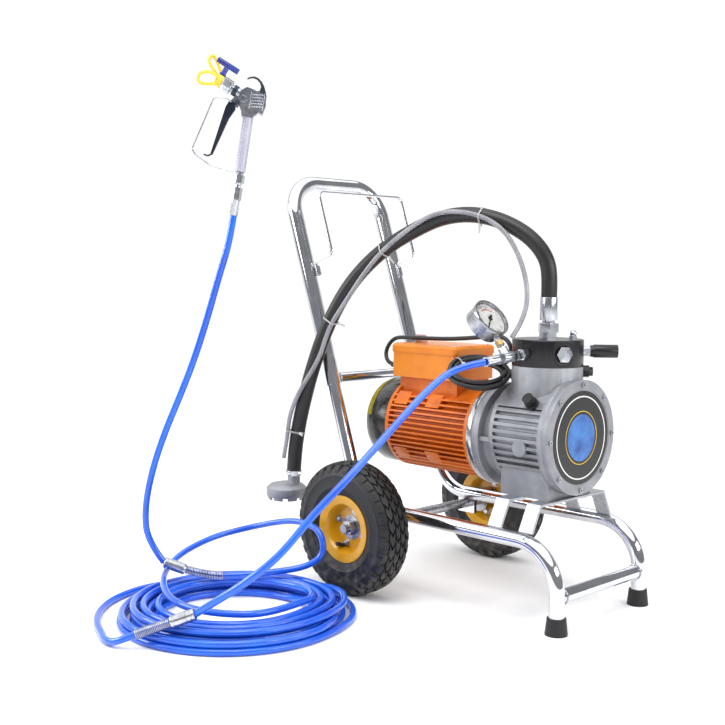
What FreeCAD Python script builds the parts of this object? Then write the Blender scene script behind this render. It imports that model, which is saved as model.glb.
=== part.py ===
import FreeCAD, Part
import math
import os

# Airless paint sprayer on a two-wheeled cart, in millimetres.
# +X runs along the cart to the front legs, -Y is the hose side, +Z is up and z = 0 is the floor.
# The wheel axle lies on x = 0.

V = FreeCAD.Vector
AXIS_X = V(1, 0, 0)
AXIS_Y = V(0, 1, 0)
AXIS_Z = V(0, 0, 1)
os.makedirs("parts", exist_ok=True)

# ---------------------------------------------------------------- driving dimensions
FIT = 0.05                  # radial running clearance
GAP = 0.3                   # clearance between faces that pass each other
SEAT = 0.1                  # clearance of a sleeved or seated piece

# cart
WHEEL_R = 130.0
WHEEL_W = 70.0
WHEEL_Y = 215.0             # from the middle plane to the middle of a wheel
RAIL_Z = 152.0
RAIL_Y = 131.0
TUBE_D = 28.0
TUBE_WALL = 2.0
LEAN = math.radians(19.0)   # lean of the uprights
LEAN_X = -63.0              # where the upright's line meets the rail's line
REAR_BEND_R = 80.0
LEG_X = 422.0
LEG_BEND_R = 85.0
FRAME_TOP_S = 350.0         # length of an upright above the rail, along its lean
HANDLE_D = 32.0
HANDLE_WALL = 1.8
HANDLE_LOW_S = 252.0
HANDLE_TOP_S = 698.0
HANDLE_BEND_R = 72.0
CROSS_D = 22.0
CROSS_S = 266.0
FRONT_BAR_Z = 65.0
FOOT_D = 38.0
FOOT_H = 30.0
FOOT_FLOOR = 8.0
RACK_ROD_D = 6.0
RACK_Y = 124.0
RACK_OUT = 74.0
RACK_LOW_S = 512.0
RACK_TOP_S = 648.0
SOCKET_D = 12.0
SOCKET_H = 20.0
AXLE_D = 20.0
STUB_D = 17.0
AXLE_TIP_Y = 240.0
LUG_T = 8.0
NUT_AF = 26.0
NUT_H = 12.0

# wheel
RIM_R = 65.0
BEAD_R = 51.0
RIM_T = 2.5
RIM_HALF_W = 27.0
HUB_R = 24.0
HUB_OUT = 3.0               # how far the hub stands out of the wheel's middle plane
HUB_IN = 46.0               # how far it reaches inwards
BEARING_R = 20.0
BEARING_W = 12.0
TYRE_WALL = 8.0
RIM_BOLT_PCD_R = 35.0
RIM_HOLE_R = 4.3

# motor
MOTOR_Z = 316.0
MOTOR_FIN_R = 91.0
MOTOR_CORE_R = 80.0
MOTOR_BORE_R = 66.0
MOTOR_REAR_X = -36.0
MOTOR_FRONT_X = 184.0
FIN_PITCH = 10.0
FIN_T = 3.2
FIN_COUNT = 13
FAN_COVER_R = 88.0
FAN_COVER_REAR_X = -106.0
FAN_COVER_WALL = 2.0
SHAFT_R = 10.0
ROTOR_R = 38.0
AIR_GAP = 0.5
STATOR_X0 = 20.0
STATOR_X1 = 130.0
BEARING_BIG_R = 22.0
BEARING_BIG_W = 14.0
BOX_X0 = -48.0
BOX_X1 = 121.0
BOX_Y0 = -60.0
BOX_Y1 = 62.0
BOX_Z0 = 413.0
BOX_Z1 = 463.0
LID_Z1 = 480.0
BOX_WALL = 3.0

# pump
FLANGE_R = 98.0
ADAPTER_X1 = 196.0
PUMP_Z = 326.0
PUMP_FLANGE_X1 = 212.0
BARREL_X0 = 236.0
BARREL_R = 95.0
COVER_R = 106.0
COVER_X0 = 363.0
COVER_T = 12.0
RIM_X0 = 352.0
CAVITY_R = 80.0
SCREW_PCD_R = 97.0
SCREW_COUNT = 8
SCREW_R = 2.5
HEAD_X = 296.0              # vertical axis of the neck and of the head
HEAD_R = 66.0
NECK_TOP_Z = 453.0
HEAD_TOP_Z = 503.0
PEDESTAL_Z = 214.0
PEDESTAL_HALF_Y = 66.0
PEDESTAL_X0 = 244.0
PEDESTAL_X1 = 352.0
PORT_Z = 478.0              # height of the ports round the head
PLUG_ANGLE = math.radians(-28.0)
KNOB_ANGLE = math.radians(43.0)
PISTON_R = 30.0
ECC_R = 24.0
ECC_OFFSET = 4.0
STROKE = 8.0
LEDGE_Z = 406.0              # ledge above the piston's return spring

# straps under the pump
STRAP_W = 30.0
STRAP_T = 5.0
STRAP_X = (277.0, 347.0)
STRAP_TOP_HALF_Y = 98.0
STRAP_LOW_HALF_Y = 120.0

# suction side
HOSE_OUT_D = 30.0
SUCTION_Z = 580.0
STRAINER_R = 42.0
STRAINER_Z0 = 150.0
DRAIN_D = 9.0

# pressure side
HOSE_D = 12.5
TEE_Y = -118.0
TEE_END_Y = -178.0
GAUGE_LEAN = math.radians(38.0)
GAUGE_R = 37.5
GAUGE_UP = 79.0
GAUGE_T = 30.0
CABLE_D = 8.5

# coil on the floor
COIL_X = -30.0
COIL_Y = -480.0
COIL_R_OUT = 226.0
COIL_R_IN = 130.0
COIL_H = 38.5
BASE_X = -66.0
BASE_Y = -494.0
BASE_R = 228.0

# gun: its frame stands on the lower end of the grip, X forwards, Y to the camera-side cheek, Z up the grip
GUN_AT = V(-61.3, -443.2, 799.0)
GUN_TURN = math.degrees(math.atan2(0.784, 0.620))
GUN_LEAN = 8.5
GRIP_R = 9.3
GRIP_H = 96.0
BARREL_UP = math.radians(22.5)


# ---------------------------------------------------------------- helpers
def cyl(radius, length, at, axis=AXIS_Z):
    return Part.makeCylinder(radius, length, at, axis)


def ring(outer, inner, length, at, axis=AXIS_Z):
    bore = cyl(inner, length + 2, at - axis.normalize() * 1, axis)
    return cyl(outer, length, at, axis).cut(bore)


def block(x0, x1, y0, y1, z0, z1):
    return Part.makeBox(x1 - x0, y1 - y0, z1 - z0, V(x0, y0, z0))


def hexagon(flats, length, at, axis=AXIS_Z, turn=0.0):
    corner = flats / math.sqrt(3)
    points = [V(corner * math.cos(math.radians(60 * k + turn)), corner * math.sin(math.radians(60 * k + turn)), 0)
              for k in range(7)]
    points[6] = points[0]
    prism = Part.Face(Part.makePolygon(points)).extrude(V(0, 0, length))
    prism.Placement = FreeCAD.Placement(at, FreeCAD.Rotation(AXIS_Z, axis))
    return prism


def turned(profile, at, axis=AXIS_Z):
    """A closed outline of (radius, height) points, turned about an axis."""
    points = [V(r, 0, h) for r, h in profile]
    points.append(points[0])
    solid = Part.Face(Part.makePolygon(points)).revolve(V(0, 0, 0), AXIS_Z, 360)
    solid.Placement = FreeCAD.Placement(at, FreeCAD.Rotation(AXIS_Z, axis))
    return solid


def union(shapes):
    first, rest = shapes[0], shapes[1:]
    return first.multiFuse(rest).removeSplitter() if rest else first


def bent_wire(points, radii):
    """Straight runs joined by tangent arcs; one radius for each inner point."""
    edges = []
    start = points[0]
    for k in range(1, len(points) - 1):
        into = (points[k] - points[k - 1]).normalize()
        out = (points[k + 1] - points[k]).normalize()
        turn = into.getAngle(out)
        radius = radii[k - 1]
        reach = radius * math.tan(turn / 2)
        a = points[k] - into * reach
        b = points[k] + out * reach
        inward = (out - into).normalize()
        middle = points[k] + inward * (radius / math.cos(turn / 2) - radius)
        if (a - start).Length > 1e-6:
            edges.append(Part.LineSegment(start, a).toShape())
        edges.append(Part.Arc(a, middle, b).toShape())
        start = b
    edges.append(Part.LineSegment(start, points[-1]).toShape())
    return Part.Wire(edges)


def swept(wire, radius):
    first = wire.Edges[0]
    start = first.valueAt(first.FirstParameter)
    along = first.tangentAt(first.FirstParameter)
    section = Part.Wire([Part.makeCircle(radius, start, along)])
    return wire.makePipeShell([section], True, False)


def pipe(wire, outer_d, wall):
    return swept(wire, outer_d / 2).cut(swept(wire, outer_d / 2 - wall))


def cord(name, points, diameter):
    """A cord's tube: each arc is as large as its two runs allow."""
    radii = []
    for k in range(1, len(points) - 1):
        before = points[k] - points[k - 1]
        after = points[k + 1] - points[k]
        turn = before.getAngle(after)
        radii.append(0.45 * min(before.Length, after.Length) / math.tan(turn / 2))
    wire = bent_wire(points, radii)
    tube = swept(wire, diameter / 2)
    expected = math.pi * diameter ** 2 / 4 * wire.Length
    print(name, "length", round(wire.Length), "least radius", round(min(radii)), "diameters",
          round(min(radii) / diameter, 1), "volume ratio", round(tube.Volume / expected, 4))
    return tube


def around(shape, count, at, axis, first=0.0):
    copies = []
    for k in range(count):
        copy = shape.copy()
        copy.rotate(at, axis, first + 360.0 * k / count)
        copies.append(copy)
    return copies


def save(name, shape):
    shape.exportStep("parts/" + name + ".step")


def group(name, shapes):
    save(name, Part.makeCompound(shapes))


def leaning(s, out, y):
    """A point on an upright: s up its length from the rail, out square to it, forwards."""
    return V(LEAN_X - s * math.sin(LEAN) + out * math.cos(LEAN), y,
             RAIL_Z + s * math.cos(LEAN) + out * math.sin(LEAN))


UP_LEAN = V(-math.sin(LEAN), 0, math.cos(LEAN))


# ---------------------------------------------------------------- cart
def side_frame(name, y):
    foot = V(LEG_X, y, FOOT_FLOOR)
    wire = bent_wire([leaning(FRAME_TOP_S, 0, y), V(LEAN_X, y, RAIL_Z), V(LEG_X, y, RAIL_Z), foot],
                     [REAR_BEND_R, LEG_BEND_R])
    tube = pipe(wire, TUBE_D, TUBE_WALL)
    low = WHEEL_R - AXLE_D
    lug = block(-22, 22, y - LUG_T / 2, y + LUG_T / 2, low, RAIL_Z)
    inside = cyl(TUBE_D / 2 - TUBE_WALL, 60, V(-30, y, RAIL_Z), AXIS_X)
    lug = lug.cut(inside)
    hole = cyl(AXLE_D / 2 + SEAT, LUG_T + 4, V(0, y - LUG_T / 2 - 2, WHEEL_R), AXIS_Y)
    save(name, union([tube, lug]).cut(hole))


side_frame("side_frame_right", -RAIL_Y)
side_frame("side_frame_left", RAIL_Y)

bar_half = RAIL_Y - 2.0
front_bar = ring(TUBE_D / 2 - 1, TUBE_D / 2 - 1 - TUBE_WALL, 2 * bar_half, V(LEG_X, -bar_half, FRONT_BAR_Z),
                 V(0, 1, 0))
for y in (-RAIL_Y, RAIL_Y):
    front_bar = front_bar.cut(cyl(TUBE_D / 2, 120, V(LEG_X, y, 0)))
save("front_crossbar", front_bar)

handle_wire = bent_wire([leaning(HANDLE_LOW_S, 0, -RAIL_Y), leaning(HANDLE_TOP_S, 0, -RAIL_Y),
                         leaning(HANDLE_TOP_S, 0, RAIL_Y), leaning(HANDLE_LOW_S, 0, RAIL_Y)],
                        [HANDLE_BEND_R, HANDLE_BEND_R])
hoop_outer = swept(handle_wire, HANDLE_D / 2)
hoop_inner = swept(handle_wire, HANDLE_D / 2 - HANDLE_WALL)
cross = cyl(CROSS_D / 2, 2 * RAIL_Y, leaning(CROSS_S, 0, -RAIL_Y), AXIS_Y)
cross_bore = cyl(CROSS_D / 2 - TUBE_WALL, 2 * RAIL_Y, leaning(CROSS_S, 0, -RAIL_Y), AXIS_Y)
socket_out = HANDLE_D / 2 + SOCKET_D / 2 - 0.6
sockets = [cyl(SOCKET_D / 2, SOCKET_H, leaning(RACK_LOW_S - SOCKET_H - 10, socket_out, y), UP_LEAN)
           for y in (-RACK_Y, RACK_Y)]
socket_bores = [cyl(RACK_ROD_D / 2 + SEAT, SOCKET_H + 2, leaning(RACK_LOW_S - SOCKET_H - 11, socket_out, y), UP_LEAN)
                for y in (-RACK_Y, RACK_Y)]
handle = union([hoop_outer, cross.cut(cross_bore)] + sockets)
for bore in [hoop_inner] + socket_bores:
    handle = handle.cut(bore)
save("push_handle", handle)

rack_points = [leaning(RACK_LOW_S - SOCKET_H - 8, socket_out, -RACK_Y), leaning(RACK_LOW_S, socket_out, -RACK_Y),
               leaning(RACK_LOW_S, RACK_OUT, -RACK_Y), leaning(RACK_TOP_S, RACK_OUT, -RACK_Y),
               leaning(RACK_TOP_S, RACK_OUT, RACK_Y), leaning(RACK_LOW_S, RACK_OUT, RACK_Y),
               leaning(RACK_LOW_S, socket_out, RACK_Y), leaning(RACK_LOW_S - SOCKET_H - 8, socket_out, RACK_Y)]
save("hose_rack", swept(bent_wire(rack_points, [7, 9, 12, 12, 9, 7]), RACK_ROD_D / 2))

hub_inner_y = WHEEL_Y - HUB_IN
axle = cyl(AXLE_D / 2, 2 * (hub_inner_y - 2), V(0, -(hub_inner_y - 2), WHEEL_R), AXIS_Y)
axle = axle.fuse(cyl(STUB_D / 2 - FIT, 2 * AXLE_TIP_Y, V(0, -AXLE_TIP_Y, WHEEL_R), AXIS_Y)).removeSplitter()
save("axle", axle)

hub_outer_y = WHEEL_Y + HUB_OUT
nuts = []
for side in (-1, 1):
    seat = hub_outer_y + 1.0 if side > 0 else -(hub_outer_y + 1.0 + NUT_H)
    nut = hexagon(NUT_AF, NUT_H, V(0, seat, WHEEL_R), AXIS_Y)
    nuts.append(nut.cut(cyl(STUB_D / 2 - FIT, NUT_H + 2, V(0, seat - 1, WHEEL_R), AXIS_Y)))

# straps carry the pump; each foot of a strap is saddle-cut to its rail and welded there
rail_top = RAIL_Z + TUBE_D / 2
strap_top = PEDESTAL_Z
strap_low = RAIL_Z + 6.0
strap_lean = (STRAP_LOW_HALF_Y - STRAP_TOP_HALF_Y) / (strap_top - STRAP_T - rail_top)
leg_in = STRAP_LOW_HALF_Y + strap_lean * (rail_top - strap_low)
leg_t = STRAP_T * math.sqrt(1 + strap_lean ** 2)
top_out = STRAP_TOP_HALF_Y + leg_t - STRAP_T * strap_lean
straps = []
strap_bolts = []
for x in STRAP_X:
    outline = [(-leg_in - leg_t, strap_low), (-leg_in, strap_low), (-STRAP_TOP_HALF_Y, strap_top - STRAP_T),
               (STRAP_TOP_HALF_Y, strap_top - STRAP_T), (leg_in, strap_low), (leg_in + leg_t, strap_low),
               (top_out, strap_top), (-top_out, strap_top)]
    face = Part.Face(Part.makePolygon([V(x - STRAP_W / 2, y, z) for y, z in outline + outline[:1]]))
    strap = face.extrude(V(STRAP_W, 0, 0))
    for y in (-RAIL_Y, RAIL_Y):
        strap = strap.cut(cyl(TUBE_D / 2, STRAP_W + 2, V(x - STRAP_W / 2 - 1, y, RAIL_Z), AXIS_X))
    for y in (-50, 50):
        strap = strap.cut(cyl(4.2, 30, V(x, y, strap_top - STRAP_T - 10)))
        strap_bolts.append(hexagon(13.0, 5.3, V(x, y, strap_top - STRAP_T - 5.3)))
    straps.append(strap)
group("support_straps", straps)
group("frame_bolts", nuts + strap_bolts)

feet = []
for y in (-RAIL_Y, RAIL_Y):
    profile = [(0, 0), (FOOT_D / 2 + 1, 0), (FOOT_D / 2 + 1, 2), (FOOT_D / 2 - 2, FOOT_H),
               (TUBE_D / 2, FOOT_H), (TUBE_D / 2, FOOT_FLOOR), (0, FOOT_FLOOR)]
    feet.append(turned(profile, V(LEG_X, y, 0)))
group("rubber_feet", feet)


# ---------------------------------------------------------------- wheels
def tyre_shape():
    half = WHEEL_W / 2
    bead = 22 - 2 * SEAT
    flange = RIM_HALF_W - RIM_T - 2 * SEAT
    outer = [(BEAD_R + SEAT, -bead), (RIM_R - 2, -flange), (RIM_R + GAP, -flange - 0.8), (78, -half + 2),
             (95, -half), (112, -half + 1), (123, -half + 5), (128, -20), (WHEEL_R, -8), (WHEEL_R, 8), (128, 20),
             (123, half - 5), (112, half - 1), (95, half), (78, half - 2), (RIM_R + GAP, flange + 0.8),
             (RIM_R - 2, flange), (BEAD_R + SEAT, bead)]
    inner = [(BEAD_R + RIM_T + 6, -15), (78, -half + TYRE_WALL + 2), (110, -half + TYRE_WALL + 2), (119, 0),
             (110, half - TYRE_WALL - 2), (78, half - TYRE_WALL - 2), (BEAD_R + RIM_T + 6, 15)]
    return turned(outer, V(0, 0, 0), AXIS_Y).cut(turned(inner, V(0, 0, 0), AXIS_Y))


def rim_half(side):
    """One pressed half of the rim, from the flange down to its flat disc on the wheel's middle plane."""
    t = RIM_T
    lip = [(HUB_R, 0), (BEAD_R - 8, 0), (BEAD_R - 3, 17), (BEAD_R, 22), (RIM_R - 2, RIM_HALF_W - t),
           (RIM_R, RIM_HALF_W - t + 1), (RIM_R, RIM_HALF_W), (RIM_R - 3, RIM_HALF_W), (BEAD_R - t, 22 + t),
           (BEAD_R - 3 - t, 17 + t), (BEAD_R - 8 - t, t), (HUB_R, t)]
    return turned([(r, side * h) for r, h in lip], V(0, 0, 0), AXIS_Y)


def wheel(prefix, side):
    at = V(0, side * WHEEL_Y, WHEEL_R)
    face_out = side > 0
    tyre = tyre_shape()
    tyre.translate(at)
    save(prefix + "_tyre", tyre)
    halves = []
    hole = cyl(RIM_HOLE_R, 20, V(RIM_BOLT_PCD_R, -10, 0), AXIS_Y)
    for half_side in (1, -1):
        half = rim_half(half_side)
        for cutter in around(hole, 4, V(0, 0, 0), AXIS_Y, 20):
            half = half.cut(cutter)
        half.translate(at)
        halves.append(half)
    group(prefix + "_rim", halves)
    out = HUB_OUT if face_out else HUB_IN
    into = HUB_IN if face_out else HUB_OUT
    length = HUB_OUT + HUB_IN
    base = V(0, -into, 0)
    hub = ring(HUB_R, BEARING_R - 3, length, base, V(0, 1, 0))
    races = []
    for y in (-into, out - BEARING_W):
        pocket = cyl(BEARING_R, BEARING_W, V(0, y, 0), AXIS_Y)
        hub = hub.cut(pocket)
        races.append(ring(BEARING_R, STUB_D / 2, BEARING_W, V(0, y, 0), V(0, 1, 0)))
    pieces = [hub] + races
    for piece in pieces:
        piece.translate(at)
    group(prefix + "_hub", pieces)


wheel("wheel_right", -1)
wheel("wheel_left", 1)


# ---------------------------------------------------------------- motor
def motor_housing():
    length = MOTOR_FRONT_X - MOTOR_REAR_X
    body = cyl(MOTOR_CORE_R, length, V(MOTOR_REAR_X, 0, MOTOR_Z), AXIS_X)
    envelope = cyl(MOTOR_FIN_R, length, V(MOTOR_REAR_X, 0, MOTOR_Z), AXIS_X)
    fin_x0 = MOTOR_REAR_X + 8
    fin_x1 = MOTOR_FRONT_X - 14
    extras = []
    for k in range(FIN_COUNT):
        z = MOTOR_Z + (k - (FIN_COUNT - 1) / 2) * FIN_PITCH
        extras.append(block(fin_x0, fin_x1, -100, 100, z - FIN_T / 2, z + FIN_T / 2))
    for y in (-60, -48, -36, -24, -12, 0, 12, 24, 36, 48, 60):
        extras.append(block(fin_x0, fin_x1, y - FIN_T / 2, y + FIN_T / 2, MOTOR_Z - 100, MOTOR_Z))
    extras.append(block(MOTOR_REAR_X, MOTOR_REAR_X + 8, -100, 100, MOTOR_Z - 100, MOTOR_Z + 100))
    extras.append(block(MOTOR_FRONT_X - 14, MOTOR_FRONT_X, -100, 100, MOTOR_Z - 100, MOTOR_Z + 100))
    for side in (-1, 1):
        for z in (-56, 56):
            for x in (-22, 62):
                y0, y1 = sorted((side * 60, side * 100))
                extras.append(block(x, x + 34, y0, y1, MOTOR_Z + z - 12, MOTOR_Z + z + 12))
    body = union([body] + [extra.common(envelope) for extra in extras])
    pad = block(BOX_X0 + 14, BOX_X1 - 4, BOX_Y0 + 12, BOX_Y1 - 12, MOTOR_Z + 60, BOX_Z0)
    body = union([body, pad])
    bore = cyl(MOTOR_BORE_R, length - 24, V(MOTOR_REAR_X + 12, 0, MOTOR_Z), AXIS_X)
    shaft_way = cyl(SHAFT_R + 2, length + 40, V(MOTOR_REAR_X - 20, 0, MOTOR_Z), AXIS_X)
    rear_seat = cyl(BEARING_BIG_R, BEARING_BIG_W + 1, V(MOTOR_REAR_X - 1, 0, MOTOR_Z), AXIS_X)
    front_seat = cyl(BEARING_BIG_R, BEARING_BIG_W + 1, V(MOTOR_FRONT_X - BEARING_BIG_W, 0, MOTOR_Z), AXIS_X)
    for cutter in (bore, shaft_way, rear_seat, front_seat):
        body = body.cut(cutter)
    for side in (-1, 1):
        for z in (-56, 56):
            for x in (-5, 79):
                body = body.cut(cyl(3.2, 12, V(x, side * 78, MOTOR_Z + z), V(0, side, 0)))
    wire_way = cyl(9, 60, V(20, 0, MOTOR_Z + 60))
    return body.cut(wire_way)


save("motor_housing", motor_housing())

group("motor_bearings", [ring(BEARING_BIG_R, SHAFT_R + FIT, BEARING_BIG_W, V(x, 0, MOTOR_Z), V(1, 0, 0))
                         for x in (MOTOR_REAR_X, MOTOR_FRONT_X - BEARING_BIG_W)])

stator = ring(MOTOR_BORE_R, ROTOR_R + AIR_GAP, STATOR_X1 - STATOR_X0, V(STATOR_X0, 0, MOTOR_Z), V(1, 0, 0))
for x in (STATOR_X0 - 16, STATOR_X1):
    stator = stator.fuse(ring(MOTOR_BORE_R - 6, ROTOR_R + 6, 16, V(x, 0, MOTOR_Z), V(1, 0, 0)))
save("stator", stator.removeSplitter())

FAN_X = FAN_COVER_REAR_X + 34
SHAFT_END_X = 314.0
shaft = cyl(SHAFT_R, SHAFT_END_X - (FAN_X - 4), V(FAN_X - 4, 0, MOTOR_Z), AXIS_X)
core = cyl(ROTOR_R, STATOR_X1 - STATOR_X0, V(STATOR_X0, 0, MOTOR_Z), AXIS_X)
save("rotor", shaft.fuse(core).removeSplitter())

fan_hub = ring(24, SHAFT_R, 20, V(FAN_X, 0, MOTOR_Z), V(1, 0, 0))
blade = block(FAN_X + 3, FAN_X + 20, -1.5, 1.5, MOTOR_Z + 20, MOTOR_Z + 76)
save("cooling_fan", union([fan_hub, ring(78, 20, 3, V(FAN_X + 17, 0, MOTOR_Z), V(1, 0, 0))]
                          + around(blade, 9, V(0, 0, MOTOR_Z), AXIS_X)))

cover_len = MOTOR_REAR_X - FAN_COVER_REAR_X
r = FAN_COVER_R
w = FAN_COVER_WALL
cover_profile = [(0, 0), (r - 26, 0), (r - 14, 3), (r - 5, 10), (r, 22), (r, cover_len - 0.2),
                 (r - w, cover_len - 0.2), (r - w, 22), (r - 5 - w, 11), (r - 14 - w, 3 + w), (r - 26, w), (0, w)]
fan_cover = turned(cover_profile, V(FAN_COVER_REAR_X, 0, MOTOR_Z), AXIS_X)
for radius, count in ((14, 6), (28, 12), (42, 18), (55, 24)):
    slot = cyl(4.2, 10, V(FAN_COVER_REAR_X - 4, 0, MOTOR_Z + radius), AXIS_X)
    for cutter in around(slot, count, V(0, 0, MOTOR_Z), AXIS_X):
        fan_cover = fan_cover.cut(cutter)
save("fan_cover", fan_cover)

# terminal box: an open tray on the motor's top pad, closed by a lid
box = block(BOX_X0, BOX_X1, BOX_Y0, BOX_Y1, BOX_Z0, BOX_Z1)
box = box.makeFillet(8, [e for e in box.Edges if abs(e.tangentAt(0).z) > 0.9])
tray_cut = block(BOX_X0 + BOX_WALL, BOX_X1 - BOX_WALL, BOX_Y0 + BOX_WALL, BOX_Y1 - BOX_WALL,
                 BOX_Z0 + BOX_WALL, BOX_Z1 + 1)
tray = box.cut(tray_cut).cut(cyl(9, 20, V(20, 0, BOX_Z0 - 5)))
GLAND_Y = -25.0
GLAND_Z = 432.0
tray = tray.cut(cyl(8, 20, V(BOX_X0 - 5, GLAND_Y, GLAND_Z), AXIS_X))
save("terminal_box", tray)

lid = block(BOX_X0 - 2, BOX_X1 + 2, BOX_Y0 - 2, BOX_Y1 + 2, BOX_Z1, LID_Z1)
lid = lid.makeFillet(9, [e for e in lid.Edges if abs(e.tangentAt(0).z) > 0.9])
lid = lid.makeChamfer(5, [e for e in lid.Edges if e.BoundBox.ZMin > LID_Z1 - 0.1])
lid = lid.cut(block(BOX_X0 + 3, BOX_X1 - 3, BOX_Y0 + 3, BOX_Y1 - 3, BOX_Z1 - 1, LID_Z1 - 3))
SWITCH_X = -30.0
SWITCH_Y = 9.0
lid = lid.cut(cyl(4 + SEAT, 30, V(SWITCH_X, SWITCH_Y, BOX_Z1)))
save("terminal_box_lid", lid)

switch = cyl(13, 9, V(SWITCH_X, SWITCH_Y, LID_Z1 + GAP))
switch = switch.fuse(block(SWITCH_X - 12, SWITCH_X + 12, SWITCH_Y - 3, SWITCH_Y + 3, LID_Z1 + 9, LID_Z1 + 15))
switch = switch.fuse(cyl(4, 12, V(SWITCH_X, SWITCH_Y, LID_Z1 - 9)))
save("switch_knob", switch.removeSplitter())

save("run_capacitor", cyl(17, 84, V(24, -32, 438), AXIS_X))

gland = hexagon(20, 7, V(BOX_X0 - 7, GLAND_Y, GLAND_Z), AXIS_X)
gland = gland.fuse(cyl(8 - SEAT, 7, V(BOX_X0, GLAND_Y, GLAND_Z), AXIS_X))
gland = gland.fuse(cyl(8, 4, V(BOX_X0 - 10, GLAND_Y, GLAND_Z), AXIS_X))
GLAND_MOUTH = V(BOX_X0 - 10, GLAND_Y, GLAND_Z)
save("cable_gland", gland.removeSplitter())


# ---------------------------------------------------------------- pump
adapter = ring(FLANGE_R + 1, MOTOR_BORE_R, ADAPTER_X1 - MOTOR_FRONT_X, V(MOTOR_FRONT_X, 0, MOTOR_Z), V(1, 0, 0))
save("adapter_flange", adapter)


def pump_casing():
    flange = cyl(FLANGE_R, PUMP_FLANGE_X1 - ADAPTER_X1, V(ADAPTER_X1, 0, MOTOR_Z), AXIS_X)
    waist = cyl(FLANGE_R - 16, BARREL_X0 - ADAPTER_X1, V(ADAPTER_X1, 0, MOTOR_Z), AXIS_X)
    envelope = cyl(BARREL_R, RIM_X0 - BARREL_X0, V(BARREL_X0, 0, PUMP_Z), AXIS_X)
    barrel = cyl(BARREL_R - 7, RIM_X0 - BARREL_X0, V(BARREL_X0, 0, PUMP_Z), AXIS_X)
    rear_wall = cyl(BARREL_R, 8, V(BARREL_X0, 0, PUMP_Z), AXIS_X)
    rim = cyl(COVER_R, COVER_X0 - RIM_X0, V(RIM_X0, 0, PUMP_Z), AXIS_X)
    pieces = [flange, waist, barrel, rear_wall, rim]
    for k in range(9):
        z = PUMP_Z - 56 + 13.0 * k
        fin = block(BARREL_X0, RIM_X0, -110, 110, z - 3, z + 3)
        pieces.append(fin.common(envelope))
    shoulder = block(BARREL_X0, RIM_X0, -BARREL_R, BARREL_R, PUMP_Z + 54, PUMP_Z + BARREL_R)
    pieces.append(shoulder.common(envelope))
    for angle in (0, 90, 180, 270):
        web = block(PUMP_FLANGE_X1 - 2, BARREL_X0 + 2, -4, 4, MOTOR_Z + 60, MOTOR_Z + FLANGE_R - 5)
        web.rotate(V(0, 0, MOTOR_Z), AXIS_X, angle)
        pieces.append(web)
    pieces.append(cyl(HEAD_R, NECK_TOP_Z - PUMP_Z, V(HEAD_X, 0, PUMP_Z)))
    pieces.append(cyl(15, 6, V(HEAD_X + 10, -BARREL_R - 1, PUMP_Z - 18), AXIS_Y))
    pedestal = block(PEDESTAL_X0, PEDESTAL_X1, -PEDESTAL_HALF_Y, PEDESTAL_HALF_Y, PEDESTAL_Z, PUMP_Z - 40)
    pieces.append(pedestal)
    body = union(pieces)
    cavity = cyl(CAVITY_R, COVER_X0 + 1 - (BARREL_X0 + 10), V(BARREL_X0 + 10, 0, PUMP_Z), AXIS_X)
    motor_side = cyl(FLANGE_R - 34, BARREL_X0 - ADAPTER_X1 - 6, V(ADAPTER_X1 - 1, 0, MOTOR_Z), AXIS_X)
    shaft_way = cyl(SHAFT_R + 3, 60, V(BARREL_X0 - 20, 0, MOTOR_Z), AXIS_X)
    piston_bore = cyl(PISTON_R + FIT, 140, V(HEAD_X, 0, PUMP_Z + 40))
    spring_bore = cyl(PISTON_R + 10, LEDGE_Z - PUMP_Z - 30, V(HEAD_X, 0, PUMP_Z + 30))
    drop = cyl(HEAD_R - 14, 12, V(HEAD_X, 0, NECK_TOP_Z - 8))
    for cutter in (cavity, motor_side, shaft_way, piston_bore, spring_bore, drop):
        body = body.cut(cutter)
    for x in STRAP_X:
        for y in (-50, 50):
            body = body.cut(cyl(3.4, 24, V(x, y, PEDESTAL_Z - 1)))
    return body


CAP_X = 318.0
CAP_ANGLE = math.radians(140.0)
cap_dir = V(0, math.cos(CAP_ANGLE), math.sin(CAP_ANGLE))
cap_seat = V(CAP_X, 0, PUMP_Z) + cap_dir * (BARREL_R - 1)
casing = pump_casing()
casing = casing.cut(cyl(7 + SEAT, 20, cap_seat - cap_dir * 18, cap_dir))
casing = casing.cut(cyl(12.5 + SEAT, 8, cap_seat, cap_dir))
screw_axis = V(COVER_X0 - 14, 0, PUMP_Z + SCREW_PCD_R)
for cutter in around(cyl(SCREW_R + SEAT, 30, screw_axis, AXIS_X), SCREW_COUNT, V(0, 0, PUMP_Z), AXIS_X):
    casing = casing.cut(cutter)
neck_plug_way = V(math.cos(KNOB_ANGLE), math.sin(KNOB_ANGLE), 0)
casing = casing.cut(cyl(6 + SEAT, 20, V(HEAD_X, 0, NECK_TOP_Z - 10) + neck_plug_way * (HEAD_R - 12.6), neck_plug_way))
save("pump_casing", casing)

cap = cyl(7, 12, cap_seat - cap_dir * 12, cap_dir)
cap = cap.fuse(cyl(12.5, 8, cap_seat, cap_dir)).fuse(hexagon(17, 6, cap_seat + cap_dir * 8, cap_dir))
cap = cap.fuse(cyl(10.5, 9, cap_seat + cap_dir * 14, cap_dir))
neck_plug_at = V(HEAD_X, 0, NECK_TOP_Z - 10) + V(math.cos(KNOB_ANGLE), math.sin(KNOB_ANGLE), 0) * (HEAD_R + 0.4)
neck_plug_dir = V(math.cos(KNOB_ANGLE), math.sin(KNOB_ANGLE), 0)
neck_plug = hexagon(21, 10, neck_plug_at, neck_plug_dir).fuse(cyl(8.5, 17, neck_plug_at, neck_plug_dir))
neck_plug = neck_plug.fuse(cyl(6, 12, neck_plug_at - neck_plug_dir * 12, neck_plug_dir)).removeSplitter()
group("oil_plugs", [cap.removeSplitter(), neck_plug])

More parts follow.
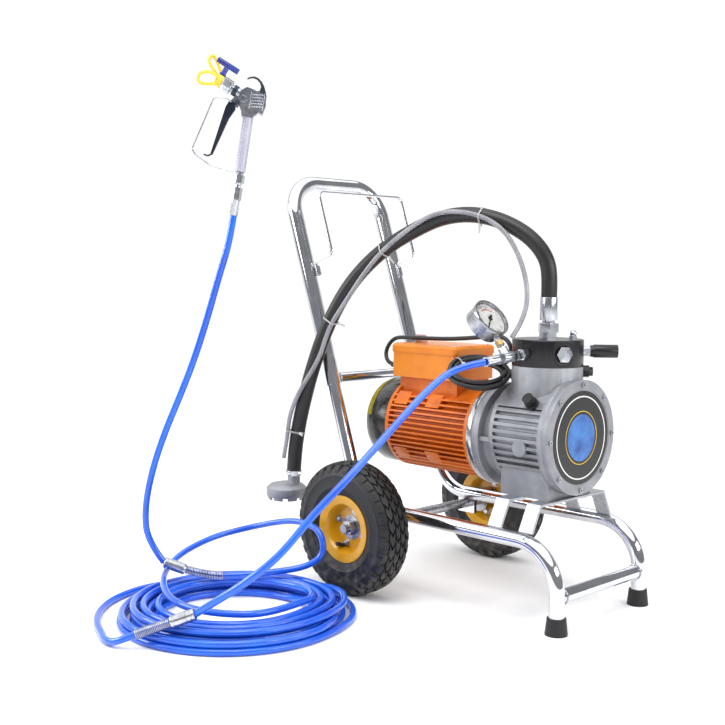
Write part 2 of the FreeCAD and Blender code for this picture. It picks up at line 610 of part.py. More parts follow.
front_cover = cyl(COVER_R, COVER_T, V(COVER_X0, 0, PUMP_Z), AXIS_X)
front_cover = front_cover.cut(cyl(SCREW_PCD_R - 8, 2, V(COVER_X0 + COVER_T - 1, 0, PUMP_Z), AXIS_X))
front_cover = front_cover.cut(cyl(CAVITY_R - 6, 5, V(COVER_X0 - 1, 0, PUMP_Z), AXIS_X))
for cutter in around(cyl(SCREW_R + SEAT, 30, screw_axis, AXIS_X), SCREW_COUNT, V(0, 0, PUMP_Z), AXIS_X):
    front_cover = front_cover.cut(cutter)
save("front_cover", front_cover)

screw = cyl(SCREW_R, COVER_T + 10, V(COVER_X0 - 10, 0, PUMP_Z + SCREW_PCD_R), AXIS_X)
screw = screw.fuse(cyl(4.6, 3.4, V(COVER_X0 + COVER_T, 0, PUMP_Z + SCREW_PCD_R), AXIS_X)).removeSplitter()
screw = screw.cut(hexagon(4, 3, V(COVER_X0 + COVER_T + 1.4, 0, PUMP_Z + SCREW_PCD_R), AXIS_X))
group("cover_screws", around(screw, SCREW_COUNT, V(0, 0, PUMP_Z), AXIS_X))

# eccentric on the shaft's end; it is high at rest, and the piston's foot stands clear of it all round
ECC_X0 = HEAD_X - 12
eccentric = cyl(ECC_R, 24, V(ECC_X0, 0, MOTOR_Z + ECC_OFFSET), AXIS_X)
save("eccentric", eccentric.cut(cyl(SHAFT_R, 24, V(ECC_X0, 0, MOTOR_Z), AXIS_X)))

foot_z = MOTOR_Z + ECC_OFFSET + ECC_R + GAP
PISTON_TOP_Z = NECK_TOP_Z - 8 - STROKE - 3
piston = cyl(14, PISTON_TOP_Z - foot_z, V(HEAD_X, 0, foot_z))
piston = piston.fuse(cyl(PISTON_R + 6, 5, V(HEAD_X, 0, foot_z + 12)))
piston = piston.fuse(cyl(PISTON_R, 28, V(HEAD_X, 0, PISTON_TOP_Z - 28)))
save("piston", piston.removeSplitter())

# the return spring stands round the piston, between its flange and the casing's ledge
SPRING_Z0 = foot_z + 17
SPRING_WIRE = 3.6
helix = Part.makeHelix(9, LEDGE_Z - SPRING_Z0 - SPRING_WIRE - 1, PISTON_R + 3.5)
profile = Part.Wire([Part.makeCircle(SPRING_WIRE / 2, V(PISTON_R + 3.5, 0, 0), AXIS_Y)])
spring = Part.Wire(helix.Edges).makePipeShell([profile], True, True)
spring.translate(V(HEAD_X, 0, SPRING_Z0 + SPRING_WIRE / 2 + 0.3))
save("piston_spring", spring)

# the diaphragm is clamped round its edge and bowed in the middle
diaphragm = ring(HEAD_R - 14 - SEAT, 20, 2.0, V(HEAD_X, 0, NECK_TOP_Z - 2), V(0, 0, 1))
diaphragm = diaphragm.fuse(cyl(20, 3.0, V(HEAD_X, 0, NECK_TOP_Z - 3)))
save("diaphragm", diaphragm.removeSplitter())

head = cyl(HEAD_R, HEAD_TOP_Z - NECK_TOP_Z, V(HEAD_X, 0, NECK_TOP_Z))
head = head.makeChamfer(1.5, [e for e in head.Edges if e.BoundBox.ZMin > HEAD_TOP_Z - 0.1])
head = head.cut(cyl(HEAD_R - 20, 6, V(HEAD_X, 0, NECK_TOP_Z - 1)))
head = head.cut(cyl(9, 60, V(HEAD_X, 0, NECK_TOP_Z)))
outlet_bore = cyl(7, HEAD_R, V(HEAD_X, -HEAD_R - 1, PORT_Z), AXIS_Y)
port = V(HEAD_X, -HEAD_R, PORT_Z)
tee_dir = (V(HEAD_X - 4, TEE_END_Y, PORT_Z - 10) - port).normalize()
outlet_bore = outlet_bore.fuse(cyl(7, 22, port - tee_dir * 19, tee_dir))
valve_dir = V(math.cos(PLUG_ANGLE), math.sin(PLUG_ANGLE), 0)
knob_dir = V(math.cos(KNOB_ANGLE), math.sin(KNOB_ANGLE), 0)
head = head.cut(outlet_bore)
head = head.cut(cyl(17, 5, V(HEAD_X, 0, PORT_Z) + valve_dir * (HEAD_R - 4), valve_dir))
head = head.cut(cyl(10, HEAD_R, V(HEAD_X, 0, PORT_Z), valve_dir))
head = head.cut(cyl(7, HEAD_R + 2, V(HEAD_X, 0, PORT_Z), knob_dir))
RELIEF_AT = V(HEAD_X + 33, 33, HEAD_TOP_Z)
head = head.cut(cyl(4, 20, RELIEF_AT - V(0, 0, 18)))
save("pump_head", head)

outlet_valve = cyl(10 - SEAT, 34, V(HEAD_X, 0, PORT_Z) + valve_dir * (HEAD_R - 36), valve_dir)
outlet_valve = outlet_valve.fuse(hexagon(27, 7, V(HEAD_X, 0, PORT_Z) + valve_dir * (HEAD_R - 3), valve_dir))
save("outlet_valve", outlet_valve.removeSplitter())

relief = cyl(4 - SEAT, 14, RELIEF_AT - V(0, 0, 14)).fuse(hexagon(14, 6, RELIEF_AT))
relief = relief.fuse(cyl(5.5, 6, RELIEF_AT + V(0, 0, 5))).fuse(Part.makeSphere(6.5, RELIEF_AT + V(0, 0, 10)))
save("relief_valve", relief.removeSplitter())

# pressure knob: a sleeve that turns on a fixed stem screwed into the head
stem_start = V(HEAD_X, 0, PORT_Z + 3) + knob_dir * (HEAD_R - 16)
stem = cyl(7 - SEAT, 60, stem_start, knob_dir)
stem = stem.fuse(hexagon(17, 12, V(HEAD_X, 0, PORT_Z + 3) + knob_dir * HEAD_R, knob_dir)).removeSplitter()
KNOB_OUT = HEAD_R + 12.5
KNOB_LEN = 50.0
knob_base = V(HEAD_X, 0, PORT_Z + 3) + knob_dir * KNOB_OUT
knob = cyl(11, 6, knob_base, knob_dir).fuse(cyl(12.3, KNOB_LEN - 6, knob_base + knob_dir * 6, knob_dir))
knob = knob.cut(cyl(7 - SEAT + FIT, 35, knob_base - knob_dir, knob_dir))
save("pressure_knob", knob.removeSplitter())

suction = cyl(9 - SEAT, 26, V(HEAD_X, 0, HEAD_TOP_Z - 26))
suction = union([suction, hexagon(31, 12, V(HEAD_X, 0, HEAD_TOP_Z)), hexagon(35, 17, V(HEAD_X, 0, HEAD_TOP_Z + 12), V(0, 0, 1), 15),
                 cyl(12, 8, V(HEAD_X, 0, HEAD_TOP_Z + 28)), cyl(16.5, SUCTION_Z - HEAD_TOP_Z - 35, V(HEAD_X, 0, HEAD_TOP_Z + 35))])
suction = suction.cut(cyl(6, 120, V(HEAD_X, 0, HEAD_TOP_Z - 30)))
save("suction_fitting", suction)

# outlet: nipple, tee, gauge stem and hose end, in line towards -Y and dipping slightly
tee_at = port + tee_dir * (abs(TEE_Y) - HEAD_R)
hose_end = port + tee_dir * (abs(TEE_END_Y) - HEAD_R)
gauge_dir = V(-math.sin(GAUGE_LEAN), 0, math.cos(GAUGE_LEAN))
face_dir = V(math.cos(GAUGE_LEAN), 0, math.sin(GAUGE_LEAN))
tee = union([cyl(7 - SEAT, 20, port - tee_dir * 18, tee_dir), hexagon(19, 13, port + tee_dir * 1.5, tee_dir),
             cyl(8, 14, port + tee_dir * 14, tee_dir), hexagon(17, 8, port + tee_dir * 26, tee_dir),
             cyl(9.5, 30, tee_at - tee_dir * 15, tee_dir), cyl(8.5, 20, tee_at, gauge_dir),
             hexagon(17, 14, tee_at + tee_dir * 14, tee_dir),
             cyl(8.6, (hose_end - tee_at).Length - 28, tee_at + tee_dir * 28, tee_dir)])
save("outlet_tee", tee)

GAUGE_AT = tee_at + gauge_dir * GAUGE_UP
gauge_back = GAUGE_AT - face_dir * (GAUGE_T / 2)
case = cyl(GAUGE_R - 2, GAUGE_T - 6, gauge_back, face_dir)
case = case.fuse(cyl(GAUGE_R, 8, gauge_back + face_dir * (GAUGE_T - 8), face_dir))
case = case.cut(cyl(GAUGE_R - 4, 8, gauge_back + face_dir * (GAUGE_T - 7), face_dir))
case = case.fuse(cyl(5.5, GAUGE_UP - GAUGE_R + 4 - 20, tee_at + gauge_dir * 20, gauge_dir))
case = case.fuse(hexagon(14, 9, tee_at + gauge_dir * 26, gauge_dir))
DIAL_AT = gauge_back + face_dir * (GAUGE_T - 7)
case = case.fuse(cyl(1.5, 4.5, DIAL_AT - face_dir, face_dir))
save("gauge_case", case.removeSplitter())

needle = cyl(4.5, 1.2, DIAL_AT + face_dir * 1.2, face_dir).cut(cyl(1.5 + FIT, 4, DIAL_AT, face_dir))
pointer = block(4.0, 25.0, -0.9, 0.9, 0, 1.2).fuse(block(-10.0, -4.0, -1.8, 1.8, 0, 1.2))
needle_turn = FreeCAD.Rotation(V(0, -1, 0), gauge_dir, face_dir, "ZXY")
pointer.Placement = FreeCAD.Placement(DIAL_AT + face_dir * 1.2, needle_turn.multiply(
    FreeCAD.Rotation(AXIS_Z, 45)))
save("gauge_needle", needle.fuse(pointer).removeSplitter())


# ---------------------------------------------------------------- suction hose and drain tube
suction_points = [V(HEAD_X, 0, SUCTION_Z), V(297, 0, 616), V(291, -2, 651), V(268, -11, 684),
                  V(236, -23, 708), V(197, -38, 726), V(154, -54, 735), V(108, -71, 732), V(64, -87, 717),
                  V(-16, -117, 672), V(-82, -142, 607), V(-129, -160, 525), V(-162, -172, 436),
                  V(-187, -182, 339), V(-202, -187, 257), V(-204, -188, 205)]
save("suction_hose", cord("suction_hose", suction_points, HOSE_OUT_D))

strainer_at = V(-221, -193, 0)
stub_at = V(-204, -188, 0)
strainer_profile = [(0, 186), (22, 184), (34, 181), (STRAINER_R, 174), (STRAINER_R, 160),
                    (STRAINER_R - 4, STRAINER_Z0), (STRAINER_R - 8, STRAINER_Z0), (STRAINER_R - 5, 160),
                    (STRAINER_R - 6, 172), (22, 178), (0, 178)]
strainer = turned(strainer_profile, strainer_at).fuse(cyl(13, 25, stub_at + V(0, 0, 180))).removeSplitter()
notch = block(STRAINER_R - 12, STRAINER_R + 4, -5, 5, STRAINER_Z0 - 1, STRAINER_Z0 + 6)
notch.translate(strainer_at)
for cutter in around(notch, 8, strainer_at, AXIS_Z):
    strainer = strainer.cut(cutter)
save("suction_strainer", strainer)

drain_points = [V(263, -67, 506), V(272, -46, 535), V(272, -30, 588), V(252, -32, 655), V(220, -48, 711),
                V(164, -70, 738), V(96, -89, 740), V(47, -114, 709), V(-4, -135, 667), V(-46, -146, 620),
                V(-84, -157, 566), V(-117, -173, 511), V(-137, -179, 447), V(-169, -197, 390),
                V(-200, -202, 337), V(-205, -207, 275), V(-217, -205, 238)]
barb_out = V(-0.44, -0.9, 0).normalize()
barb_at = V(HEAD_X, 0, PORT_Z + 17) + barb_out * (HEAD_R - 2)
barb = cyl(4, 10.5, barb_at, barb_out).fuse(Part.makeSphere(5, V(263, -67, 497)))
barb = barb.fuse(cyl(4.4, 12, V(263, -67, 494))).removeSplitter()
group("drain_tube", [cord("drain_tube", drain_points, DRAIN_D), barb])


# ---------------------------------------------------------------- pressure hose: feed, coil and whip
COUPLING_A = (V(61, -633, 61), V(-11, -706, 24))
COUPLING_B = (V(-196, -517, 77), V(-172, -482, 60), V(-131, -423, 44))
feed_points = [hose_end, V(257, -215, 459), V(242, -267, 425), V(237, -332, 376), V(233, -394, 329),
               V(224, -452, 280), V(208, -509, 230), V(193, -563, 171), V(149, -603, 123), V(97, -625, 85),
               COUPLING_A[0]]
save("feed_hose", cord("feed_hose", feed_points, HOSE_D))

SWIVEL_LEN = 78.0


def gun_place(shape):
    """Moves a shape from the gun's own frame to its place."""
    shape = shape.copy()
    turn = FreeCAD.Rotation(AXIS_Z, GUN_TURN + 180).multiply(FreeCAD.Rotation(AXIS_Y, -GUN_LEAN))
    shape.Placement = FreeCAD.Placement(GUN_AT, turn).multiply(shape.Placement)
    return shape


def gun_point(x, y, z):
    turn = FreeCAD.Rotation(AXIS_Z, GUN_TURN + 180).multiply(FreeCAD.Rotation(AXIS_Y, -GUN_LEAN))
    return GUN_AT + turn.multVec(V(x, y, z))


whip_end = gun_point(0, 0, -SWIVEL_LEN)
whip_points = [COUPLING_B[0], V(-216, -540, 117), V(-216, -546, 178), V(-201, -539, 253), V(-180, -524, 327),
               V(-156, -506, 396), V(-133, -490, 466), V(-112, -477, 540), V(-94, -466, 612),
               gun_point(0, 0, -SWIVEL_LEN - 48), whip_end]
save("whip_hose", cord("whip_hose", whip_points, HOSE_D))

# the loose turns lie in a low heap: single at the rim, three deep nearer the middle
coil = turned([(COIL_R_IN, 0), (COIL_R_OUT, 0), (COIL_R_OUT, HOSE_D), (COIL_R_OUT - 13, 2 * HOSE_D),
               (COIL_R_OUT - 20, COIL_H), (COIL_R_IN, COIL_H)], V(COIL_X, COIL_Y, 0))
base = ring(BASE_R, BASE_R - 60, HOSE_D, V(BASE_X, BASE_Y, 0), V(0, 0, 1))
loop_points = [V(108, -462, 40), V(104, -520, 46), V(62, -571, 47), V(-4, -598, 47), V(-77, -586, 46), V(-140, -557, 47), V(-194, -520, 51), V(-245, -468, 57), V(-269, -413, 69),
               V(-271, -345, 84), V(-248, -290, 95), V(-187, -266, 114), V(-131, -262, 128),
               V(-88, -261, 131), V(-42, -261, 124), V(-24, -264, 80), V(-50, -290, 52), V(-88, -354, 46),
               COUPLING_B[2]]
loop = cord("raised_loop", loop_points, HOSE_D)
save("hose_coil", union([coil, base, loop]))


def coupling(points, radius):
    """A crimped sleeve on the hose, followed by its bend spring, as one solid."""
    along = (points[1] - points[0]).normalize()
    sleeve = cyl(11, 42, points[0], along)
    wire = bent_wire(points, [radius]) if len(points) > 2 else Part.Wire([Part.makeLine(*points)])
    return sleeve.fuse(swept(wire, 10)).removeSplitter()


group("hose_couplings", [coupling(COUPLING_A, 0), coupling(COUPLING_B, 60)])


# ---------------------------------------------------------------- power cable
BUNDLE_AT = V(187, -68, 436)
bundle_axis = V(0.282, -0.279, 0.916)
save("cable_bundle", Part.makeTorus(51, 10.8, BUNDLE_AT, bundle_axis))
cable_points = [GLAND_MOUTH, V(-90, -26, 430), V(-109, -18, 457), V(-92, -10, 487), V(-48, -11, 489), V(14, -15, 490),
                V(72, -18, 492), V(130, -18, 497), V(168, -15, 502), V(209, -14, 503), V(226, -14, 475),
                V(209, -16, 447), V(174, -24, 451)]
tail_points = [V(222, -34, 440), V(221, -4, 437), V(205, 22, 428)]
group("power_cable", [cord("power_cable", cable_points, CABLE_D), cord("cable_tail", tail_points, CABLE_D)])
plug_dir = V(-0.5, 0.84, -0.2).normalize()
plug = cyl(6.5, 10, tail_points[-1], plug_dir).fuse(cyl(12, 32, tail_points[-1] + plug_dir * 9, plug_dir))
plug_side = plug_dir.cross(AXIS_Z).normalize()
for offset in (-8, 8):
    plug = plug.fuse(cyl(2.3, 20, tail_points[-1] + plug_dir * 40 + plug_side * offset, plug_dir))
save("power_plug", plug.removeSplitter())


# ---------------------------------------------------------------- gun, in its own frame
swivel = union([cyl(7.0, 22, V(0, 0, -22)), hexagon(17, 14, V(0, 0, -20)), cyl(5, 8, V(0, 0, -29)),
                hexagon(16, 22, V(0, 0, -50)), cyl(7.2, 28, V(0, 0, -SWIVEL_LEN))])
save("swivel_fitting", gun_place(swivel))

grip = cyl(GRIP_R, GRIP_H - GAP, V(0, 0, GAP))
save("gun_grip", gun_place(grip))

PIVOT = V(28, 0, 116)
TIP_R = 4.6
BARREL_AT = V(14, 0, 133)
barrel_dir = V(math.cos(BARREL_UP), 0, math.sin(BARREL_UP))


def gun_body():
    outline = [(-10, 96), (-2, 96), (12, 96), (14, 106), (22, 120), (30, 124), (27, 133), (21, 150), (-2, 146),
               (-16, 141), (-27, 137), (-28, 120), (-24, 104), (-14, 110)]
    cheek = Part.Face(Part.makePolygon([V(x, -11, z) for x, z in outline + outline[:1]])).extrude(V(0, 22, 0))
    neck = cyl(9.5, 14, BARREL_AT, barrel_dir)
    collar = cyl(10.5, 12, BARREL_AT + barrel_dir * 12, barrel_dir)
    nose = cyl(8.0, 14, BARREL_AT + barrel_dir * 22, barrel_dir)
    lug = block(20, 34, -4, 4, 110, 130)
    hook_points = [V(-25, 0, 139), V(-17, 0, 153), V(-10, 0, 165), V(1, 0, 169), V(9, 0, 164)]
    hook = swept(bent_wire(hook_points, [12, 12, 9]), 2.4)
    fillet_block = block(-24, -4, -2.4, 2.4, 140, 150)
    body = union([cheek, neck, collar, nose, lug, hook, fillet_block])
    return body.cut(cyl(2.5, 30, V(PIVOT.x, -15, PIVOT.z), AXIS_Y)).cut(block(33, 36, -6, 6, 108, 124))


save("gun_body", gun_place(gun_body()))

trigger_outline = [(24, 108), (33, 122), (37, 120), (42, 108), (56, 24), (53, 22), (51.5, 26), (33, 90), (26, 104)]
plates = []
for side in (-1, 1):
    y0 = side * 5.2 if side > 0 else -7.7
    plate = Part.Face(Part.makePolygon([V(x, y0, z) for x, z in trigger_outline + trigger_outline[:1]]))
    plates.append(plate.extrude(V(0, 2.5, 0)))
front_web = Part.Face(Part.makePolygon([V(x, -7.7, z) for x, z in
                                        ((42, 108), (56, 24), (53, 23), (39, 106), (42, 108))])).extrude(V(0, 15.4, 0))
trigger_hook = swept(bent_wire([V(53, 0, 24), V(60, 0, 19), V(68, 0, 20)], [4]), 1.6)
pin = cyl(2.5 - FIT, 15.4, V(PIVOT.x, -7.7, PIVOT.z), AXIS_Y)
save("trigger", gun_place(union(plates + [front_web, trigger_hook, pin])))

guard_points = [V(33, 9.5, 118), V(44, 9.5, 123), V(64, 9.5, 121), V(89, 9.5, 25), V(82, 9.5, 16), V(54, 9.5, 2),
                V(12, 9.5, -3)]
guard = swept(bent_wire(guard_points, [8, 8, 6, 6, 30]), 1.4)
save("trigger_guard", gun_place(guard))

NUT_AT = BARREL_AT + barrel_dir * 24.3
tip_parts = [hexagon(24, 19, NUT_AT + barrel_dir * 0.3, barrel_dir).cut(cyl(8.0 + FIT, 14, NUT_AT, barrel_dir))]
guard_base = NUT_AT + barrel_dir * 19.5
side_up = V(-barrel_dir.z, 0, barrel_dir.x)
TIP_AT = guard_base + barrel_dir * 6.0


def guard_point(along, up, y):
    return TIP_AT + barrel_dir * along + side_up * up + V(0, y, 0)


tip_guard = cyl(11, 12, guard_base, barrel_dir)
upper_loop = [guard_point(2, 4, -5), guard_point(33, 17, -12), guard_point(34, 34, -18), guard_point(27, 31, -21),
              guard_point(9, 20, -21), guard_point(1, 5, -7)]
lower_loop = [guard_point(-2, -6, 5), guard_point(22, -22, 12), guard_point(30, -19, 14), guard_point(31, -7, 16),
              guard_point(21, 2, 17), guard_point(1, 3, 6)]
for loop_path in (upper_loop, lower_loop):
    tip_guard = tip_guard.fuse(swept(bent_wire(loop_path, [5, 3, 3, 5]), 2.7))
tip_guard = tip_guard.cut(cyl(TIP_R + FIT, 60, TIP_AT - side_up * 30, side_up))
tip_parts.append(tip_guard)
save("tip_guard", gun_place(Part.makeCompound(tip_parts)))

tip = cyl(TIP_R, 36, TIP_AT - side_up * 9, side_up).fuse(cyl(6.2, 3, TIP_AT + side_up * 11.3, side_up))
bar = cyl(5.2, 42, TIP_AT + side_up * 31 - barrel_dir * 21, barrel_dir)
save("tip_handle", gun_place(tip.fuse(bar).removeSplitter()))
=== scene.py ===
import math
import bpy
import bmesh
from mathutils import Matrix, Vector


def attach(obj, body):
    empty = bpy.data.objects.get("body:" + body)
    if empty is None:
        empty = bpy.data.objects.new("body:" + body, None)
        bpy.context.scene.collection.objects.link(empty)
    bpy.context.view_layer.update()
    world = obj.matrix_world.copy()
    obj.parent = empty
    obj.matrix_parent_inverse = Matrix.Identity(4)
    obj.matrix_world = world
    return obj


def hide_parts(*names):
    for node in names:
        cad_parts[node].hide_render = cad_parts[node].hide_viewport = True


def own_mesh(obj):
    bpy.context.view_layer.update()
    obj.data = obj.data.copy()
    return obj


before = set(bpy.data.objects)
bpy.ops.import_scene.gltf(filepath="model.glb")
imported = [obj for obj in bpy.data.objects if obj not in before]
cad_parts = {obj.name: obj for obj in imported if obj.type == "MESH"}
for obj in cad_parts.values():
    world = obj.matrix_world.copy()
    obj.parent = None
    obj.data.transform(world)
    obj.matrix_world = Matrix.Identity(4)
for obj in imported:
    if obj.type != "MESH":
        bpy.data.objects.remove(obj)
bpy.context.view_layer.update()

# An airless paint sprayer on its cart. Metres; +X runs to the front legs, -Y is the hose side, +Z is up.


# ---------------------------------------------------------------- camera
CAMERA_AT = (1.5178, -1.6926, 0.6240)
TURN, DOWN, ROLL = math.radians(45.27), math.radians(4.71), math.radians(0.55)
ahead = Vector((-math.sin(TURN) * math.cos(DOWN), math.cos(TURN) * math.cos(DOWN), -math.sin(DOWN)))
level = Vector((math.cos(TURN), math.sin(TURN), 0))
upright = level.cross(ahead)
across = level * math.cos(ROLL) + upright * math.sin(ROLL)
upward = upright * math.cos(ROLL) - level * math.sin(ROLL)
lens = bpy.data.cameras.new("camera")
lens.lens, lens.sensor_width = 55.08, 36.0
lens.shift_x, lens.shift_y = -0.0014, 0.0007
lens.clip_end = 60
camera = bpy.data.objects.new("camera", lens)
bpy.context.scene.collection.objects.link(camera)
camera.matrix_world = Matrix.Translation(CAMERA_AT) @ Matrix((across, upward, -ahead)).transposed().to_4x4()
bpy.context.scene.camera = camera


# ---------------------------------------------------------------- shader maths
class Sock:
    """One output of a shader node; arithmetic on it adds Math nodes to its material."""

    def __init__(self, tree, socket=None):
        self.tree, self.socket = tree, socket

    def node(self, kind, settings=(), sockets=(), out=0):
        made = self.tree.nodes.new("ShaderNode" + kind)
        for name, value in dict(settings).items():
            if name == "stops":
                for _ in value[2:]:
                    made.color_ramp.elements.new(0.5)
                for stop, (place, colour) in zip(made.color_ramp.elements, value):
                    stop.position, stop.color = place, colour
            else:
                setattr(made, name, value)
        for name, value in dict(sockets).items():
            if isinstance(value, Sock):
                self.tree.links.new(value.socket, made.inputs[name])
            else:
                made.inputs[name].default_value = value
        return Sock(self.tree, made.outputs[out])

    def maths(self, operation, *values):
        return self.node("Math", {"operation": operation}, dict(enumerate(values)))

    def __add__(self, other):
        return self.maths("ADD", self, other)

    def __sub__(self, other):
        return self.maths("SUBTRACT", self, other)

    def __rsub__(self, other):
        return self.maths("SUBTRACT", other, self)

    def __mul__(self, other):
        return self.maths("MULTIPLY", self, other)

    def __pow__(self, other):
        return self.maths("POWER", self, other)

    __radd__, __rmul__ = __add__, __mul__

    def step(self, low, high):
        """0 below low, 1 above high, eased between."""
        return self.node("MapRange", {"interpolation_type": "SMOOTHSTEP"}, {0: self, 1: low, 2: high})

    def noise(self, scale, detail=3.0, stretch=(1, 1, 1)):
        place = self.node("Mapping", {}, {"Vector": self, "Scale": stretch})
        return self.node("TexNoise", {}, {"Vector": place, "Scale": scale, "Detail": detail})

    def blend(self, first, second):
        """A colour between two, by this mask."""
        return self.node("Mix", {"data_type": "RGBA"}, {0: self, 6: first, 7: second}, out=2)

    def axes(self):
        return [self.node("SeparateXYZ", {}, {0: self}, out=k) for k in range(3)]


def card(red, green, blue, share=1.0):
    """A colour-card value, 0 to 255, as linear light."""
    return tuple(share * ((c / 255 + 0.055) / 1.055) ** 2.4 for c in (red, green, blue)) + (1.0,)


def finish(name, pale, deep, rough, spread=0.1, metallic=0.0, patch=18.0, grain=900.0, relief=0.1,
           lift=0.0001,
           stretch=(1, 1, 1), speck=0.3, extra=None, **fixed):
    """A finish whose tone and gloss wander slowly, with a fine grain in relief."""
    made = bpy.data.materials.new(name)
    made.use_nodes = True
    tree = made.node_tree
    shader = tree.nodes["Principled BSDF"]
    place = Sock(tree).node("TexCoord", out=3)
    broad = place.noise(patch, 4.0)
    fine = place.noise(grain, 2.0, stretch)
    colour = (broad * (1 - speck) + fine * speck).step(0.3, 0.7).blend(deep, pale)
    gloss = rough + (broad - 0.5) * spread + (fine - 0.5) * spread
    height = fine
    if extra:
        colour, gloss, height = extra(place, colour, gloss, height)
    bump = place.node("Bump", {}, {"Strength": relief, "Distance": lift, "Height": height})
    for socket, value in (("Base Color", colour), ("Roughness", gloss.maths("MINIMUM", gloss, 1.0)),
                          ("Normal", bump)):
        tree.links.new(value.socket, shader.inputs[socket])
    shader.inputs["Metallic"].default_value = metallic
    for socket, value in fixed.items():
        shader.inputs[socket.replace("_", " ")].default_value = value
    return made


def floor_dust(place, colour, gloss, height):
    """Grey dust low down, caught in patches."""
    dust = (1 - place.axes()[2].step(0.0, 0.16)) * place.noise(60, 5).step(0.42, 0.7) * 0.5
    return dust.blend(colour, card(120, 114, 104)), gloss + dust * 0.25, height


def scratches(place, colour, gloss, height):
    """Fine wipe marks in polished plating."""
    marks = place.noise(700, 2, (1, 0.08, 0.3)).step(0.56, 0.75)
    return colour, gloss + marks * 0.09, height + marks * 0.3


def turned_rings(place, colour, gloss, height):
    """Lathe marks round the motor's shaft line."""
    x, y, z = place.axes()
    radius = (y * y + (z - 0.316) ** 2.0) ** 0.5
    rings = radius.maths("SINE", radius * 5200.0)
    return colour, gloss + rings * 0.05, height + rings * 0.5


def sand_cast(place, colour, gloss, height):
    """Casting skin: shallow pits and darker dirt in patches."""
    pits = place.noise(420, 4)
    stain = place.noise(35, 5).step(0.5, 0.8) * 0.25
    return stain.blend(colour, card(92, 94, 98)), gloss + stain * 0.3, height * 0.5 + pits


def wrap_marks(place, colour, gloss, height):
    """The faint cloth mark left on a wrapped rubber hose."""
    cloth = place.noise(1500, 2, (1, 1, 0.35))
    return colour, gloss + (cloth - 0.5) * 0.12, height + cloth


def painted_shade_patches(place, colour, gloss, height):
    """Powder coat with painted shade: a darker orange laid in noise patches over the housing, and a fine
    grain in relief.
    """
    # painted shade: a darker copy of the orange, mixed in where a noise mask is high
    painted_shade = place.noise(45, 5).step(0.52, 0.8) * 0.28
    return painted_shade.blend(colour, card(120, 48, 10)), gloss + painted_shade * 0.3, height + place.noise(260, 2) * 0.8


chrome = finish("chromed_tube", card(226, 227, 231), card(206, 208, 214), 0.08, 0.05, metallic=1.0,
                extra=scratches,
                relief=0.04, speck=0.1)
zinc = finish("zinc_plate", card(206, 209, 214), card(168, 172, 180), 0.22, 0.14, metallic=1.0, patch=60,
              relief=0.12)
strap_zinc = finish("galvanised_strap", card(196, 198, 202), card(140, 143, 150), 0.36, 0.2, metallic=1.0,
                    patch=260,
                    grain=700, relief=0.3, lift=0.0002, speck=0.5)
steel = finish("bright_steel", card(190, 191, 195), card(146, 147, 153), 0.27, 0.16, metallic=1.0, patch=70,
               relief=0.15)
brass = finish("brass_fitting", card(206, 176, 122), card(172, 138, 84), 0.25, 0.12, metallic=1.0, patch=70,
               relief=0.12)
foot_rubber = finish("foot_rubber", card(26, 26, 28), card(17, 17, 19), 0.55, 0.15, relief=0.4, lift=0.0003)
tyre_rubber = finish("tyre_rubber", card(30, 30, 31), card(17, 17, 19), 0.52, 0.2, grain=500, relief=0.35,
                     lift=0.0003,
                     extra=floor_dust)
rim_paint = finish("rim_paint", card(224, 166, 8), card(204, 142, 4), 0.3, 0.12, grain=500, relief=0.08,
                   Coat_Weight=0.35, Coat_Roughness=0.12)
# the motor's coat carries painted shade in darker orange patches
motor_paint = finish("motor_powder_coat", card(218, 112, 10), card(200, 94, 4), 0.42, 0.14, patch=30,
                     relief=0.2, lift=0.0003, extra=painted_shade_patches)
box_paint = finish("box_moulding", card(226, 132, 12), card(212, 114, 6), 0.34, 0.1, patch=22, grain=1400,
                   relief=0.12,
                   Coat_Weight=0.15, Coat_Roughness=0.25)
plastic = finish("black_moulding", card(30, 30, 32), card(18, 18, 20), 0.38, 0.14, grain=1500, relief=0.2)
black_paint = finish("black_enamel", card(22, 22, 24), card(12, 12, 14), 0.26, 0.14, patch=25, relief=0.12,
                     lift=0.0002,
                     Coat_Weight=0.3, Coat_Roughness=0.15)
casting = finish("cast_casing", card(160, 161, 166), card(138, 140, 146), 0.5, 0.14, metallic=0.6, patch=24,
                 grain=1300,
                 relief=0.25, lift=0.0003, extra=sand_cast)
machined = finish("machined_ring", card(206, 207, 211), card(172, 174, 178), 0.24, 0.1, metallic=1.0,
                  extra=turned_rings, relief=0.2)
anodised = finish("black_anodised", card(26, 26, 29), card(15, 15, 17), 0.32, 0.12, metallic=0.2, grain=1600,
                  relief=0.1)
suction_rubber = finish("suction_rubber", card(26, 26, 28), card(16, 16, 18), 0.42, 0.12, relief=0.3,
                        lift=0.0002,
                        extra=wrap_marks)
hose_blue = finish("blue_hose_skin", card(26, 104, 226), card(10, 80, 206), 0.2, 0.08, patch=9, relief=0.05,
                   speck=0.05,
                   Coat_Weight=0.5, Coat_Roughness=0.08)
tube_clear = finish("clear_tube_wall", card(176, 176, 182), card(150, 150, 157), 0.16, 0.06, patch=22,
                    relief=0.05,
                    speck=0.0, Transmission_Weight=0.3, IOR=1.42)
cable_rubber = finish("cable_sheath", card(24, 24, 26), card(15, 15, 17), 0.42, 0.14, relief=0.3,
                      extra=wrap_marks)
knob_pink = finish("switch_moulding", card(214, 182, 184), card(196, 158, 162), 0.3, 0.1, relief=0.1)
gun_alloy = finish("gun_casting", card(190, 192, 198), card(150, 153, 162), 0.25, 0.14, metallic=0.95,
                   patch=70,
                   relief=0.2, lift=0.0002)
hook_slate = finish("hook_slate", card(96, 108, 116), card(70, 80, 90), 0.3, 0.12, metallic=0.8, patch=70,
                    relief=0.1)
grip_coat = finish("grip_coat", card(186, 185, 200), card(166, 165, 183), 0.42, 0.12, metallic=0.2,
                   grain=1400,
                   relief=0.3, lift=0.0002)
